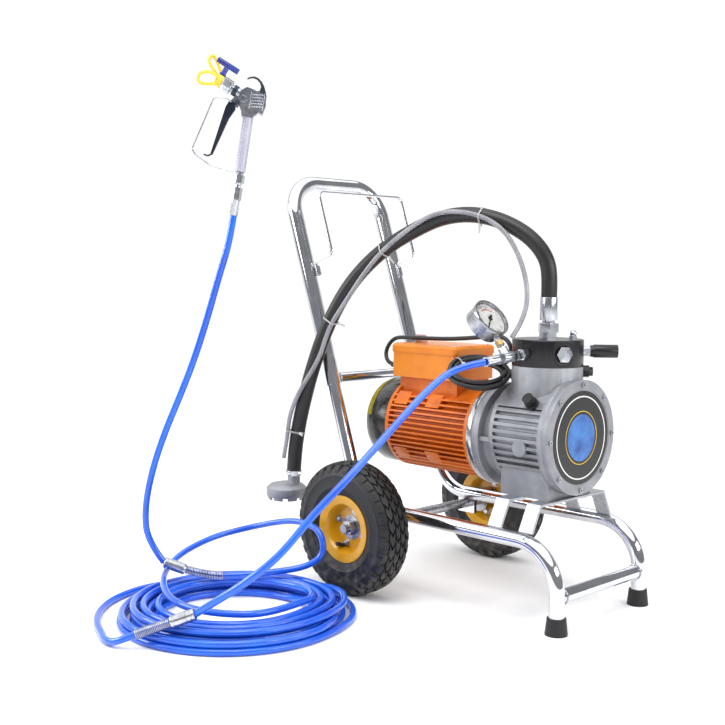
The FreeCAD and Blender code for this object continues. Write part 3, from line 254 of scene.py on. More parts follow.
trigger_coat = finish("trigger_coat", card(50, 56, 72), card(28, 32, 44), 0.3, 0.12, metallic=0.5,
                      relief=0.12)
tip_yellow = finish("tip_guard_moulding", card(246, 214, 70), card(236, 196, 44), 0.38, 0.1, relief=0.12,
                    speck=0.1,
                    Subsurface_Weight=0.05)
tip_blue = finish("tip_handle_moulding", card(44, 62, 150), card(30, 42, 122), 0.34, 0.1, relief=0.12,
                  speck=0.1)
needle_paint = finish("needle_paint", card(26, 26, 28), card(16, 16, 18), 0.4)
copper = finish("copper_winding", card(190, 108, 62), card(150, 76, 40), 0.32, 0.1, metallic=1.0, relief=0.3,
                stretch=(0.05, 1, 1))
inner_rubber = finish("diaphragm_rubber", card(66, 60, 56), card(44, 40, 38), 0.6, relief=0.3)
dial_white = finish("dial_enamel", card(240, 240, 236), card(232, 232, 228), 0.35, 0.06, relief=0.03)
dial_ink = finish("dial_ink", card(28, 28, 32), card(18, 18, 22), 0.45)
dial_red = finish("dial_red", card(214, 40, 34), card(196, 28, 26), 0.45)
plate_black = finish("plate_black", card(16, 16, 18), card(10, 10, 12), 0.3, 0.08, relief=0.05)
plate_white = finish("plate_white", card(232, 232, 230), card(220, 220, 218), 0.38)
plate_blue = finish("plate_blue", card(60, 120, 190), card(18, 52, 130), 0.34, patch=26, speck=0.0)
plate_yellow = finish("plate_yellow", card(236, 200, 34), card(222, 180, 20), 0.36)
band_yellow = finish("band_yellow", card(206, 188, 40), card(180, 160, 26), 0.42)
tie_nylon = finish("tie_nylon", card(218, 218, 214), card(198, 198, 196), 0.36, relief=0.1)
spring_wire = finish("spring_wire", card(206, 210, 222), card(160, 164, 180), 0.18, 0.1, metallic=1.0,
                     patch=80)
glass = finish("gauge_glass", card(250, 250, 250), card(246, 246, 246), 0.03, 0.01, relief=0.01,
               Transmission_Weight=1.0, IOR=1.3)


# ---------------------------------------------------------------- shaping tools
def stand(at, axis, toward=None):
    """A frame at a point whose Z follows the axis, and whose X leans towards a direction if one is given."""
    z = Vector(axis).normalized()
    x = Vector(toward) if toward else (Vector((0, 0, 1)) if abs(z.z) < 0.9 else Vector((1, 0, 0)))
    x = (x - z * x.dot(z)).normalized()
    return Matrix.Translation(at) @ Matrix((x, z.cross(x), z)).transposed().to_4x4()


def place(name, shape, paint, body, slot, bevel=0.0, replaced=(), smooth=40.0):
    """Makes a piece of a bmesh in row coordinates and puts it on its body."""
    bmesh.ops.recalc_face_normals(shape, faces=shape.faces)
    mesh = bpy.data.meshes.new(name)
    shape.to_mesh(mesh)
    shape.free()
    mesh.shade_smooth()
    mesh.set_sharp_from_angle(angle=math.radians(smooth))
    mesh.materials.append(paint)
    piece = bpy.data.objects.new(name, mesh)
    bpy.context.scene.collection.objects.link(piece)
    if bevel:
        soften(piece, bevel)
    return settle(piece, body, slot, replaced)


def settle(piece, body, slot, replaced=()):
    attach(piece, body)
    if replaced:
        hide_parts(*replaced)
    return piece


def soften(piece, width, segments=2):
    rounding = piece.modifiers.new("edges", "BEVEL")
    rounding.width, rounding.segments = width, segments
    rounding.limit_method, rounding.angle_limit = "ANGLE", math.radians(35)
    rounding.harden_normals = True


def lathe(shape, profile, where, segments=64):
    """Turns a closed outline of (radius, height) about the frame's Z."""
    rings = []
    for k in range(segments):
        a = 2 * math.pi * k / segments
        rings.append([shape.verts.new(where @ Vector((r * math.cos(a), r * math.sin(a), h))) for r,
                      h in profile])
    count = len(profile)
    for k in range(segments):
        one, two = rings[k], rings[(k + 1) % segments]
        for i in range(count):
            j = (i + 1) % count
            if profile[i][0] < 1e-6 and profile[j][0] < 1e-6:
                continue
            shape.faces.new((one[i], one[j], two[j], two[i]))
    bmesh.ops.remove_doubles(shape, verts=shape.verts, dist=1e-7)
    return shape


def prism(shape, corners, low, high, where):
    """A straight prism on a flat outline, from one height to another in the frame."""
    floor = [shape.verts.new(where @ Vector((x, y, low))) for x, y in corners]
    roof = [shape.verts.new(where @ Vector((x, y, high))) for x, y in corners]
    shape.faces.new(floor[::-1])
    shape.faces.new(roof)
    for i in range(len(corners)):
        j = (i + 1) % len(corners)
        shape.faces.new((floor[i], floor[j], roof[j], roof[i]))


def hexagon(flats, turn=0.0):
    return [(flats / math.sqrt(3) * math.cos(math.radians(60 * k + turn)),
             flats / math.sqrt(3) * math.sin(math.radians(60 * k + turn))) for k in range(6)]


def oblong(width, depth):
    return [(-width / 2, -depth / 2), (width / 2, -depth / 2), (width / 2, depth / 2),
            (-width / 2, depth / 2)]


def tube(name, points, diameter, paint, smoothness=8, cyclic=False):
    """A NURBS line with a round section."""
    line = bpy.data.curves.new(name, "CURVE")
    line.dimensions = "3D"
    spline = line.splines.new("NURBS")
    spline.points.add(len(points) - 1)
    for knot, point in zip(spline.points, points):
        knot.co = (*point, 1)
    spline.order_u = 3
    spline.use_endpoint_u = not cyclic
    spline.use_cyclic_u = cyclic
    line.resolution_u = smoothness
    line.bevel_depth, line.bevel_resolution = diameter / 2, 6
    line.use_fill_caps = True
    line.materials.append(paint)
    piece = bpy.data.objects.new(name, line)
    bpy.context.scene.collection.objects.link(piece)
    return piece


def route(piece):
    """The points along a tube's centre line, as Blender draws it."""
    line = piece.data
    depth, line.bevel_depth = line.bevel_depth, 0.0
    drawn = bpy.data.meshes.new_from_object(piece)
    line.bevel_depth = depth
    points = [v.co.copy() for v in drawn.vertices]
    bpy.data.meshes.remove(drawn)
    return points


def coiled_wire(name, line, start, reach, radius, wire, pitch, paint):
    """A close helix round a stretch of a route, which starts a given way along it."""
    along, steps = [0.0], 9
    for a, b in zip(line, line[1:]):
        along.append(along[-1] + (b - a).length)
    points, k = [], 0
    side = Vector((0.3, 0.2, 1.0))
    count = int(reach / pitch * steps)
    for n in range(count + 1):
        s = start + reach * n / count
        while along[k + 1] < s:
            k += 1
        share = (s - along[k]) / (along[k + 1] - along[k])
        ahead_here = (line[k + 1] - line[k]).normalized()
        side = (side - ahead_here * side.dot(ahead_here)).normalized()
        turn = 2 * math.pi * n / steps
        points.append(line[k].lerp(line[k + 1], share) + radius * (side * math.cos(turn)
                                                                   + ahead_here.cross(side) * math.sin(turn)))
    helix = tube(name, points, wire, paint, 4)
    helix.data.bevel_resolution = 2
    return helix


# ---------------------------------------------------------------- hoses and cable
def laid(piece, body, slot, replaced, **facts):
    settle(piece, body, slot, replaced)
    return piece


suction_points = [(0.296, 0, 0.58), (0.297, 0, 0.616), (0.291, -0.002, 0.651), (0.268, -0.011, 0.684),
                  (0.236, -0.023, 0.708), (0.197, -0.038, 0.726), (0.154, -0.054, 0.735),
                  (0.108, -0.071, 0.732), (0.064, -0.087, 0.717), (-0.016, -0.117, 0.672),
                  (-0.082, -0.142, 0.607), (-0.129, -0.16, 0.525), (-0.162, -0.172, 0.436),
                  (-0.187, -0.182, 0.339), (-0.202, -0.187, 0.257), (-0.204, -0.188, 0.205)]
drain_points = [(0.263, -0.067, 0.506), (0.272, -0.046, 0.535), (0.272, -0.03, 0.588), (0.252, -0.032, 0.655),
                (0.22, -0.048, 0.711), (0.164, -0.07, 0.738), (0.096, -0.089, 0.74), (0.047, -0.114, 0.709),
                (-0.004, -0.135, 0.667), (-0.046, -0.146, 0.62), (-0.084, -0.157, 0.566),
                (-0.117, -0.173, 0.511), (-0.137, -0.179, 0.447), (-0.169, -0.197, 0.39),
                (-0.2, -0.202, 0.337), (-0.205, -0.207, 0.275), (-0.217, -0.205, 0.238)]
feed_points = [(0.292, -0.1775, 0.468), (0.257, -0.215, 0.459), (0.242, -0.267, 0.425),
               (0.237, -0.332, 0.376),
               (0.233, -0.394, 0.329), (0.224, -0.452, 0.28), (0.208, -0.509, 0.23), (0.193, -0.563, 0.171),
               (0.149, -0.603, 0.123), (0.097, -0.625, 0.085), (0.061, -0.633, 0.061)]
whip_points = [(-0.196, -0.517, 0.077), (-0.216, -0.54, 0.117), (-0.216, -0.546, 0.178),
               (-0.201, -0.539, 0.253), (-0.18, -0.524, 0.327), (-0.156, -0.506, 0.396),
               (-0.133, -0.49, 0.466), (-0.112, -0.477, 0.54), (-0.094, -0.466, 0.612),
               (-0.0729, -0.4578, 0.6744), (-0.0685, -0.4522, 0.7219)]
raised_points = [(0.104, -0.52, 0.0465), (0.062, -0.571, 0.0475), (-0.004, -0.598, 0.0475),
                 (-0.077, -0.586, 0.0465), (-0.14, -0.557, 0.048), (-0.194, -0.52, 0.051),
                 (-0.245, -0.468, 0.057), (-0.269, -0.413, 0.069), (-0.271, -0.345, 0.084),
                 (-0.248, -0.29, 0.095), (-0.187, -0.266, 0.114), (-0.131, -0.262, 0.128),
                 (-0.088, -0.261, 0.131), (-0.042, -0.261, 0.124), (-0.024, -0.264, 0.08),
                 (-0.05, -0.29, 0.054), (-0.088, -0.354, 0.048), (-0.131, -0.423, 0.045),
                 (-0.156, -0.459, 0.052), (-0.174, -0.4848, 0.0614)]
cable_lead = [(-0.058, -0.025, 0.432), (-0.09, -0.026, 0.43), (-0.109, -0.018, 0.457), (-0.092, -0.01, 0.487),
              (-0.048, -0.011, 0.489), (0.014, -0.015, 0.49), (0.072, -0.018, 0.492), (0.13, -0.018, 0.497),
              (0.168, -0.015, 0.502), (0.209, -0.014, 0.503), (0.226, -0.014, 0.475), (0.209, -0.016, 0.447)]
cable_tail = [(0.221, -0.004, 0.437), (0.205, 0.022, 0.428)]
COIL_X, COIL_Y = -0.030, -0.480
FLOOR, SECOND, THIRD, CROSSING = 0.0064, 0.0191, 0.0318, 0.0446
# each station of the winding is an angle in degrees, a radius and a height; the hose runs clockwise
winding = [(-105, 0.244, 0.0065), (-122, 0.245, 0.0065), (-152, 0.255, 0.0065), (-178, 0.258, 0.0065),
           (-200, 0.250, 0.0065), (-235, 0.232, 0.0065), (-260, 0.2195, FLOOR), (-300, 0.2195, FLOOR)]
turn_end = -300
for before, radius, height in ((0.2195, 0.201, FLOOR), (0.201, 0.182, FLOOR), (0.182, 0.160, FLOOR),
                               (0.160, 0.138, FLOOR), (0.138, 0.156, SECOND), (0.156, 0.178, SECOND),
                               (0.178, 0.200, SECOND), (0.200, 0.182, THIRD), (0.182, 0.160, THIRD),
                               (0.160, 0.138, THIRD)):
    if height != winding[-1][2]:
        winding[-1] = (turn_end + 40, before, winding[-1][2])
        winding.append((turn_end, before, height))
    winding.append((turn_end - 50, radius, height))
    turn_end -= 360
    winding.append((turn_end, radius, height))
winding[-1] = (turn_end + 40, 0.138, THIRD)
winding.append((turn_end - 28, 0.138, CROSSING))
winding.append((turn_end - 45, 0.139, CROSSING))

main_points = [(0.0333, -0.6611, 0.0468), (-0.011, -0.706, 0.024), (-0.040, -0.727, 0.009),
               (-0.073, -0.722, 0.0065)]
STEP = 15
for (a0, r0, z0), (a1, r1, z1) in zip(winding, winding[1:]):
    count = max(1, round((a0 - a1) / STEP))
    for n in range(count):
        share = n / count
        ease = share * share * (3 - 2 * share)
        angle = a0 + (a1 - a0) * share
        wobble = (0.0016 * math.sin(math.radians(angle * 0.61))
                  + 0.0010 * math.sin(math.radians(angle * 1.37 + 40)))
        radius = (r0 + (r1 - r0) * ease) + wobble
        main_points.append((COIL_X + radius * math.cos(math.radians(angle)),
                            COIL_Y + radius * math.sin(math.radians(angle)), z0 + (z1 - z0) * ease))
main_points += raised_points

suction_hose = tube("suction_hose_rubber", suction_points, 0.030, suction_rubber, 16)
drain_tube = tube("drain_tube_clear", drain_points, 0.009, tube_clear, 16)
feed_hose = tube("feed_hose_blue", feed_points, 0.0125, hose_blue, 16)
main_hose = tube("main_hose_blue", main_points, 0.0125, hose_blue, 5)
whip_hose = tube("whip_hose_blue", whip_points, 0.0125, hose_blue, 16)

# couplings: a crimped sleeve with rolled grooves, then a bend spring on the main hose
SLEEVE = [(0.0064, 0), (0.0096, 0), (0.0104, 0.0008), (0.0104, 0.005), (0.0097, 0.0056), (0.0097, 0.007),
          (0.0104, 0.0076), (0.0104, 0.0125), (0.0098, 0.013), (0.0098, 0.0145), (0.0104, 0.015),
          (0.0104, 0.034),
          (0.0098, 0.0345), (0.0098, 0.0365), (0.0104, 0.037), (0.0104, 0.0405), (0.0096, 0.042),
          (0.0064, 0.042)]


def coupling(name, start, toward):
    return place(name + "_sleeve", lathe(bmesh.new(), SLEEVE, stand(start, Vector(toward) - Vector(start)),
                                         48),
                 zinc, "cart", "zinc", replaced=("hose_couplings",))


sleeve_a = coupling("coupling_a", (0.061, -0.633, 0.061), (-0.011, -0.706, 0.024))
sleeve_b = coupling("coupling_b", (-0.196, -0.517, 0.077), (-0.172, -0.482, 0.060))
main_route = route(main_hose)
spring_a = coiled_wire("coupling_a_spring", main_route, 0.001, 0.062, 0.0083, 0.0019, 0.0030, spring_wire)
spring_b = coiled_wire("coupling_b_spring", main_route[::-1], 0.001, 0.070, 0.0083, 0.0019, 0.0030,
                       spring_wire)
for spring in (spring_a, spring_b):
    settle(spring, "cart", "zinc")

# power cable: out of the gland, along the lid, down into a tied ring of nearly four turns, and to its plug
RING_AT = Vector((0.187, -0.068, 0.436))
RING_AXIS = Vector((0.282, -0.279, 0.916)).normalized()
RING_R, STRAND_R, RING_STEPS = 0.051, 0.0064, 14
ring_frame = stand(RING_AT, RING_AXIS, (1, 0, 0))
cable_points = list(cable_lead)
RING_IN, RING_OUT = 112.0, 1478.0
count = round((RING_OUT - RING_IN) / 360 * RING_STEPS)
for n in range(count + 1):
    angle = math.radians(RING_IN + (RING_OUT - RING_IN) * n / count)
    twist = math.radians(100) + angle / 4
    radius = (RING_R + STRAND_R * math.cos(twist)) / 0.9752
    cable_points.append(ring_frame @ Vector((radius * math.cos(angle), radius * math.sin(angle),
                                             STRAND_R * math.sin(twist))))
cable_points += [Vector(point) for point in cable_tail]
power_cable = tube("power_cable_sheath", cable_points, 0.0085, cable_rubber, 8)

relief = lathe(bmesh.new(), [(0.0045, 0), (0.0078, 0), (0.0078, 0.003), (0.0066, 0.0035), (0.0072, 0.006),
                             (0.0062, 0.0065),
                             (0.0067, 0.009), (0.0058, 0.0095), (0.0062, 0.012), (0.0054, 0.0125),
                             (0.0056, 0.015),
                             (0.0050, 0.022), (0.0044, 0.022)], stand((-0.058, -0.025, 0.432),
                                                                      (-1, -0.02, -0.03)), 40)
place("gland_relief", relief, plastic, "cart", "black_plastic")

laid(suction_hose, "cart", "hose_black", ("suction_hose",), exit=suction_points[0], length=0.96,
     diameter=0.030,
     far_end="object", stiffness="stiff", lay="hanging")
laid(drain_tube, "cart", "clear_tube", ("drain_tube",), exit=drain_points[0], length=0.98, diameter=0.009,
     far_end="bare", stiffness="medium", lay="hanging")
laid(feed_hose, "cart", "hose_blue", ("feed_hose",), exit=feed_points[0], length=0.69, diameter=0.0125,
     far_end="fitting", stiffness="medium", lay="hanging", with_pieces=[sleeve_a])
laid(main_hose, "cart", "hose_blue", ("hose_coil",), exit=main_points[0], length=14.0, diameter=0.0125,
     far_end="fitting", stiffness="medium", lay="coiled", with_pieces=[spring_a, spring_b, sleeve_b])
laid(whip_hose, "cart", "hose_blue", ("whip_hose",), exit=whip_points[0], length=0.68, diameter=0.0125,
     far_end="object", stiffness="medium", lay="hanging")
laid(power_cable, "cart", "cable_black", ("power_cable", "cable_bundle"), exit=cable_points[0], length=1.77,
     diameter=0.0085, far_end="plug", stiffness="medium", lay="coiled", with_pieces=["power_plug"])


# ---------------------------------------------------------------- ties and clamp on the suction hose
def tie(name, near, body="cart", lines=(), radii=(), width=0.0036):
    """A nylon band pulled round the lines where they pass a point, with its head and cut tail."""
    centres = []
    for line in lines:
        k = min(range(1, len(line) - 1), key=lambda i: (line[i] - Vector(near)).length)
        centres.append((line[k], (line[k + 1] - line[k - 1]).normalized()))
    at, axis = centres[0]
    other = centres[-1][0]
    where = stand(at, axis, other - at) if len(lines) > 1 else stand(at, axis)
    gap = (other - at - axis * (other - at).dot(axis)).length
    outline = []
    lean = math.asin(max(-1, min(1, (radii[0] - radii[-1]) / gap))) if gap > 1e-6 else 0
    for n in range(25):
        a = math.pi / 2 - lean + (math.pi + 2 * lean) * n / 24
        outline.append(((radii[0] + 0.0006) * math.cos(a), (radii[0] + 0.0006) * math.sin(a)))
    for n in range(13):
        a = -math.pi / 2 + lean + (math.pi - 2 * lean) * n / 12
        outline.append((gap + (radii[-1] + 0.0006) * math.cos(a), (radii[-1] + 0.0006) * math.sin(a)))
    shape = bmesh.new()
    loops = []
    for h in (-width / 2, width / 2):
        loops.append([shape.verts.new(where @ Vector((x, y, h))) for x, y in outline])
    for i in range(len(outline)):
        j = (i + 1) % len(outline)
        shape.faces.new((loops[0][i], loops[0][j], loops[1][j], loops[1][i]))
    bmesh.ops.solidify(shape, geom=shape.faces[:], thickness=-0.0011)
    head = where @ Matrix.Translation((0, -radii[0] - 0.0028, 0))
    prism(shape, oblong(0.0058, 0.0050), -0.0028, 0.0028, head)
    prism(shape, oblong(0.0012, 0.0160), -width / 2, width / 2,
          head @ Matrix.Translation((0.0015, -0.0070, 0)))
    return place(name, shape, tie_nylon, body, "clear_tube", bevel=0.0003)


suction_route, drain_route = route(suction_hose), route(drain_tube)
for number, spot in enumerate(((0.170, -0.047, 0.725), (-0.019, -0.119, 0.667), (-0.127, -0.159, 0.526),
                               (-0.195, -0.184, 0.292)), 1):
    tie("hose_tie_%d" % number, spot, lines=(suction_route, drain_route), radii=(0.015, 0.0045))

CLAMP_AT = (-0.204, -0.188, 0.207)
clamp = lathe(bmesh.new(), [(0.0153, -0.0045), (0.0166, -0.0045), (0.0170, -0.0038), (0.0170, 0.0038),
                            (0.0166, 0.0045),
                            (0.0153, 0.0045)], stand(CLAMP_AT, (0, 0, 1)), 64)
clamp_side = stand(CLAMP_AT, (0, 0, 1), (0.80, -0.60, 0))
prism(clamp, oblong(0.0075, 0.0150), -0.0052, 0.0052, clamp_side @ Matrix.Translation((0.0196, 0, 0)))
prism(clamp, hexagon(0.0080), -0.0130, -0.0070,
      clamp_side @ Matrix.Translation((0.0200, 0, 0)) @ Matrix.Rotation(math.pi / 2, 4, "X"))
place("suction_clamp", clamp, zinc, "cart", "zinc", bevel=0.0003)
tie("cable_tie", ring_frame @ Vector((-RING_R, 0, 0)),
    lines=([ring_frame @ Vector((RING_R * math.cos(a / 9), RING_R * math.sin(a / 9), 0))
                                                            for a in range(57)],), radii=(0.0112,),
    width=0.004)


# ---------------------------------------------------------------- wheels
TREAD_R, WHEEL_Y, TREAD_PITCHES = 0.130, 0.215, 32


def wheel(side_name, side):
    body = "wheel_" + side_name
    hub = Vector((0, side * WHEEL_Y, TREAD_R))
    out = Vector((0, side, 0))
    turn = stand(hub, out, (1, 0, 0))
    carcass = [(0.0512, -0.0216), (0.0630, -0.0242), (0.0655, -0.0252), (0.0705, -0.0288), (0.0770, -0.0318),
               (0.0800, -0.0334),
               (0.0812, -0.0343), (0.0842, -0.0343), (0.0855, -0.0338), (0.0950, -0.0346), (0.1010, -0.0345),
               (0.1022, -0.0350), (0.1046, -0.0350), (0.1058, -0.0342), (0.1120, -0.0330), (0.1170, -0.0300),
               (0.1212, -0.0245), (0.1236, -0.0160), (0.1246, -0.0080), (0.1248, 0)]
    outline = carcass + [(r, -h) for r, h in carcass[-2::-1]] + [(0.0600, 0.0150), (0.0600, -0.0150)]
    tyre = lathe(bmesh.new(), outline, turn, 120)

    def lug(rows, where_angle):
        """A block on the tyre; each row is a place across it, two radii and two offsets round it."""
        cage = []
        for y, low, high, back, front in rows:
            for r in (low, high):
                for s in (back, front):
                    a = where_angle + s / TREAD_R
                    taper = 0.90 if r == high else 1.0
                    mid = where_angle + (back + front) / 2 / TREAD_R
                    a = mid + (a - mid) * taper
                    cage.append(tyre.verts.new(turn @ Vector((r * math.cos(a), r * math.sin(a), y))))
        for k in range(len(rows) - 1):
            b, c = cage[4 * k:4 * k + 4], cage[4 * k + 4:4 * k + 8]
            for i, j in ((0, 1), (1, 3), (3, 2), (2, 0)):
                tyre.faces.new((b[i], b[j], c[j], c[i]))
        tyre.faces.new((cage[0], cage[1], cage[3], cage[2]))
        tyre.faces.new(tuple(cage[4 * len(rows) - 4 + i] for i in (0, 2, 3, 1)))

    half = math.pi * TREAD_R / TREAD_PITCHES * 0.80
    for k in range(TREAD_PITCHES):
        a = 2 * math.pi * k / TREAD_PITCHES
        for flip in (-1, 1):
            zig = 0.0048
            shift = a + (math.pi / TREAD_PITCHES if flip > 0 else 0)
            lug([(flip * 0.0012, 0.121, 0.1300, -half + zig, half + zig), (flip * 0.0062, 0.121, 0.1299,
                                                                           -half - zig, half - zig),
                 (flip * 0.0112, 0.121, 0.1295, -half + zig, half + zig)], shift)
            lug([(flip * 0.0136, 0.120, 0.1292, -half + zig, half + zig), (flip * 0.0190, 0.118, 0.1283,
                                                                           -half - zig, half - zig),
                 (flip * 0.0243, 0.115, 0.1262, -half + zig, half + zig)], shift + math.pi / TREAD_PITCHES)
            lug([(flip * 0.0264, 0.113, 0.1250, -half * 0.9, half * 0.9), (flip * 0.0305, 0.110, 0.1212,
                                                                           -half * 0.8, half * 0.8),
                 (flip * 0.0336, 0.106, 0.1150, -half * 0.6, half * 0.6)], shift)
    place("tyre_" + side_name, tyre, tyre_rubber, body, "tyre_black", bevel=0.0006,
          replaced=(body + "_tyre",), smooth=32)

    bolts = bmesh.new()
    for k in range(4):
        a = math.radians(20 + 90 * k)
        seat = stand(hub + Vector((0.035 * math.cos(a), 0, -0.035 * math.sin(a))), out)
        for height, flip in ((0.0026, 1), (-0.0026, -1)):
            low, high = sorted((height, height + flip * 0.0008))
            lathe(bolts, [(0.0, low), (0.0082, low), (0.0082, high), (0.0, high)], seat, 28)
            low, high = sorted((height + flip * 0.0008, height + flip * 0.0058))
            prism(bolts, hexagon(0.0100, 13 * k), low, high, seat)
        lathe(bolts, [(0.0, 0.0058), (0.0030, 0.0058), (0.0030, 0.0085), (0.0022, 0.0095), (0.0, 0.0095)],
              seat, 20)
    place("rim_bolts_" + side_name, bolts, zinc, body, "steel", bevel=0.0004)
    a = math.radians(245)
    root = hub + Vector((0.043 * math.cos(a), side * 0.0020, 0.043 * math.sin(a)))
    stem = lathe(bmesh.new(), [(0.0, 0), (0.0062, 0), (0.0058, 0.003), (0.0036, 0.006), (0.0036, 0.018),
                               (0.0041, 0.0185),
                               (0.0041, 0.026), (0.0034, 0.0275), (0.0, 0.0275)],
                 stand(root, Vector((-0.35 * math.cos(a), side * 1.0, -0.35 * math.sin(a)))), 28)
    place("valve_stem_" + side_name, stem, plastic, body, "black_plastic")


wheel("right", -1)
wheel("left", 1)


# ---------------------------------------------------------------- gauge
FACE = Vector((0.788, 0, 0.616)).normalized()
FACE_UP = Vector((-0.616, 0, 0.788))
DIAL_AT = (0.2518, -0.1178, 0.5406)
dial = stand(DIAL_AT, FACE, FACE_UP)
gauge_face = lathe(bmesh.new(), [(0.0018, 0.0001), (0.0330, 0.0001), (0.0330, 0.0006), (0.0018, 0.0006)],
                   dial, 72)
place("gauge_dial", gauge_face, dial_white, "cart", "steel")
marks = bmesh.new()
for k in range(41):
    a = math.radians(225 - 270 * k / 40)
    long_mark = k % 5 == 0
    r0, r1 = (0.0225 if long_mark else 0.0262), 0.0292
    mark = dial @ Matrix.Rotation(a - math.pi / 2, 4, "Z")
    prism(marks, [(x, y + (r0 + r1) / 2) for x, y in oblong(0.0009 if long_mark else 0.0005, r1 - r0)],
          0.0006, 0.0008, mark)
place("gauge_marks", marks, dial_ink, "cart", "needle_black")
band = bmesh.new()
for k in range(20):
    a0, a1 = (math.radians(-45 + 78 * (k + s) / 20) for s in (0, 1))
    corners = [(r * math.cos(a), r * math.sin(a)) for r, a in ((0.0196, a0), (0.0214, a0), (0.0214, a1),
                                                               (0.0196, a1))]
    prism(band, corners, 0.0006, 0.0008, dial)
place("gauge_red_band", band, dial_red, "cart", "needle_black")
pane = lathe(bmesh.new(), [(0, 0.0052), (0.0333, 0.0052), (0.0333, 0.0060), (0.0, 0.0060)], dial, 72)
place("gauge_pane", pane, glass, "cart", "clear_tube")

# ---------------------------------------------------------------- face plate and label band
front = stand((0.3740, 0, 0.326), (1, 0, 0))
for name, inner, outer, low, high, paint in (
        ("plate_field", 0.0, 0.0860, 0.0001, 0.0007, plate_black), ("plate_ring", 0.0745, 0.0768, 0.0007,
                                                                    0.0009, plate_white),
        ("plate_inner_ring", 0.0480, 0.0492, 0.0007, 0.0009, plate_yellow), ("plate_centre", 0.0, 0.0430,
                                                                             0.0007, 0.0009, plate_blue)):
    outline = [(inner, low), (outer, low), (outer, high), (inner, high)]
    place(name, lathe(bmesh.new(), outline, front, 96), paint, "cart", "black_plastic")
band = bmesh.new()
rear = stand((-0.106, 0, 0.316), (1, 0, 0), (0, 0, 1))
rows = [(0.0834, 0.0100), (0.0884, 0.0220), (0.0884, 0.0270)]
cells = []
for k in range(33):
    a = math.radians(8 + 72 * k / 32)
    cells.append([band.verts.new(rear @ Vector((r * math.cos(a), r * math.sin(a), h))) for r, h in rows])
for one, two in zip(cells, cells[1:]):
    for i in range(len(rows) - 1):
        band.faces.new((one[i], one[i + 1], two[i + 1], two[i]))
bmesh.ops.solidify(band, geom=band.faces[:], thickness=0.0003)
place("cover_band", band, band_yellow, "cart", "black_paint")

# ---------------------------------------------------------------- lid screws and weld beads
screws = bmesh.new()
for x in (-0.0385, 0.1115):
    for y in (-0.0505, 0.0525):
        seat = stand((x, y, 0.480), (0, 0, 1))
        lathe(screws, [(0.0, 0.0), (0.0042, 0.0), (0.0040, 0.0012), (0.0030, 0.0020), (0.0008, 0.0021),
                       (0.0, 0.0013)], seat, 28)
place("lid_screws", screws, zinc, "cart", "steel")
beads = bmesh.new()


def bead(at, axis, radius, thickness=0.0016, clip=None):
    """A row of overlapping weld ripples round a joint."""
    ring = stand(at, axis)
    ripples = max(24, round(2 * math.pi * radius / 0.0022))
    rings = []
    for k in range(ripples):
        a = 2 * math.pi * k / ripples
        swell = thickness * (1.0 + 0.18 * math.sin(k * 2.4))
        rings.append([beads.verts.new(ring @ Vector(((radius + swell * math.cos(b)) * math.cos(a),
                                                     (radius + swell * math.cos(b)) * math.sin(a),
                                                     swell * math.sin(b)))) for b in (2 * math.pi * j / 8 for j in range(8))])
    for k in range(ripples):
        for j in range(8):
            beads.faces.new((rings[k][j], rings[k][(j + 1) % 8], rings[(k + 1) % ripples][(j + 1) % 8],
                             rings[(k + 1) % ripples][j]))


for side in (-1, 1):
    bead((0.422, side * 0.1172, 0.065), (0, 1, 0), 0.0134)
    cross_at = Vector((-0.063 - 0.266 * math.sin(math.radians(19)), side * 0.1150,
                       0.152 + 0.266 * math.cos(math.radians(19))))
    bead(cross_at, (0, 1, 0), 0.0114)
place("weld_beads", beads, steel, "cart", "chromed_tube")

# ---------------------------------------------------------------- spray gun
GUN_TURN = math.atan2(0.784, 0.620) + math.pi
gun = (Matrix.Translation((-0.0613, -0.4432, 0.799)) @ Matrix.Rotation(GUN_TURN, 4, "Z")
       @ Matrix.Rotation(math.radians(-8.5), 4, "Y"))
BARREL_UP = math.radians(22.5)
cheek = gun @ Matrix.Rotation(math.pi / 2, 4,
                              "X")          # flat outlines are drawn in x and z of the gun's frame
barrel = gun @ Matrix.Translation((0.014, 0, 0.133)) @ Matrix.Rotation(math.pi / 2 - BARREL_UP, 4, "Y")


def side(points):
    return [(x / 1000, z / 1000) for x, z in points]


body_shape = bmesh.new()
prism(body_shape, side([(-10, 100), (-8, 96), (12, 96), (14, 106), (20, 117), (22, 128), (20, 141),
                        (10, 149), (-2, 147),
                        (-16, 142), (-27, 137), (-28, 120), (-24, 104), (-17, 108)]), -0.0095, 0.0095, cheek)
prism(body_shape, side([(20, 110), (33, 113), (34, 122), (27, 132), (20, 130)]), -0.0040, 0.0040, cheek)
lathe(body_shape, [(0, 0.002), (0.0088, 0.002), (0.0088, 0.0135), (0, 0.0135)], barrel, 40)
lathe(body_shape, [(0, 0.020), (0.0078, 0.020), (0.0078, 0.036), (0, 0.036)], barrel, 40)
CHEEK_Y, RIB_HEIGHT, RIB_COUNT, RIB_PITCH = 0.0091, 0.0018, 5, 0.0052
for way in (-1, 1):
    def raised(share):
        """The two heights of a feature that stands on this cheek, a share of a rib high."""
        return sorted((way * CHEEK_Y, way * (CHEEK_Y + RIB_HEIGHT * share)))

    for k in range(RIB_COUNT):
        rib = cheek @ Matrix.Translation((-0.0110, 0.1165 + RIB_PITCH * k,
                                          0)) @ Matrix.Rotation(math.radians(-6), 4, "Z")
        prism(body_shape, oblong(0.0200, 0.0024), *raised(1), rib)
    for x in (-0.0225, 0.0010):
        post = cheek @ Matrix.Translation((x, 0.1265, 0))
        prism(body_shape, oblong(0.0022, 0.030), *raised(1.25), post)
    boss = cheek @ Matrix.Translation((0.0128, 0.1270, 0))
    prism(body_shape, hexagon(0.0120, 10), *raised(1.6), boss)
place("gun_casting", body_shape, gun_alloy, "gun", "gun_silver", bevel=0.0007, replaced=("gun_body",))
ring_shape = bmesh.new()
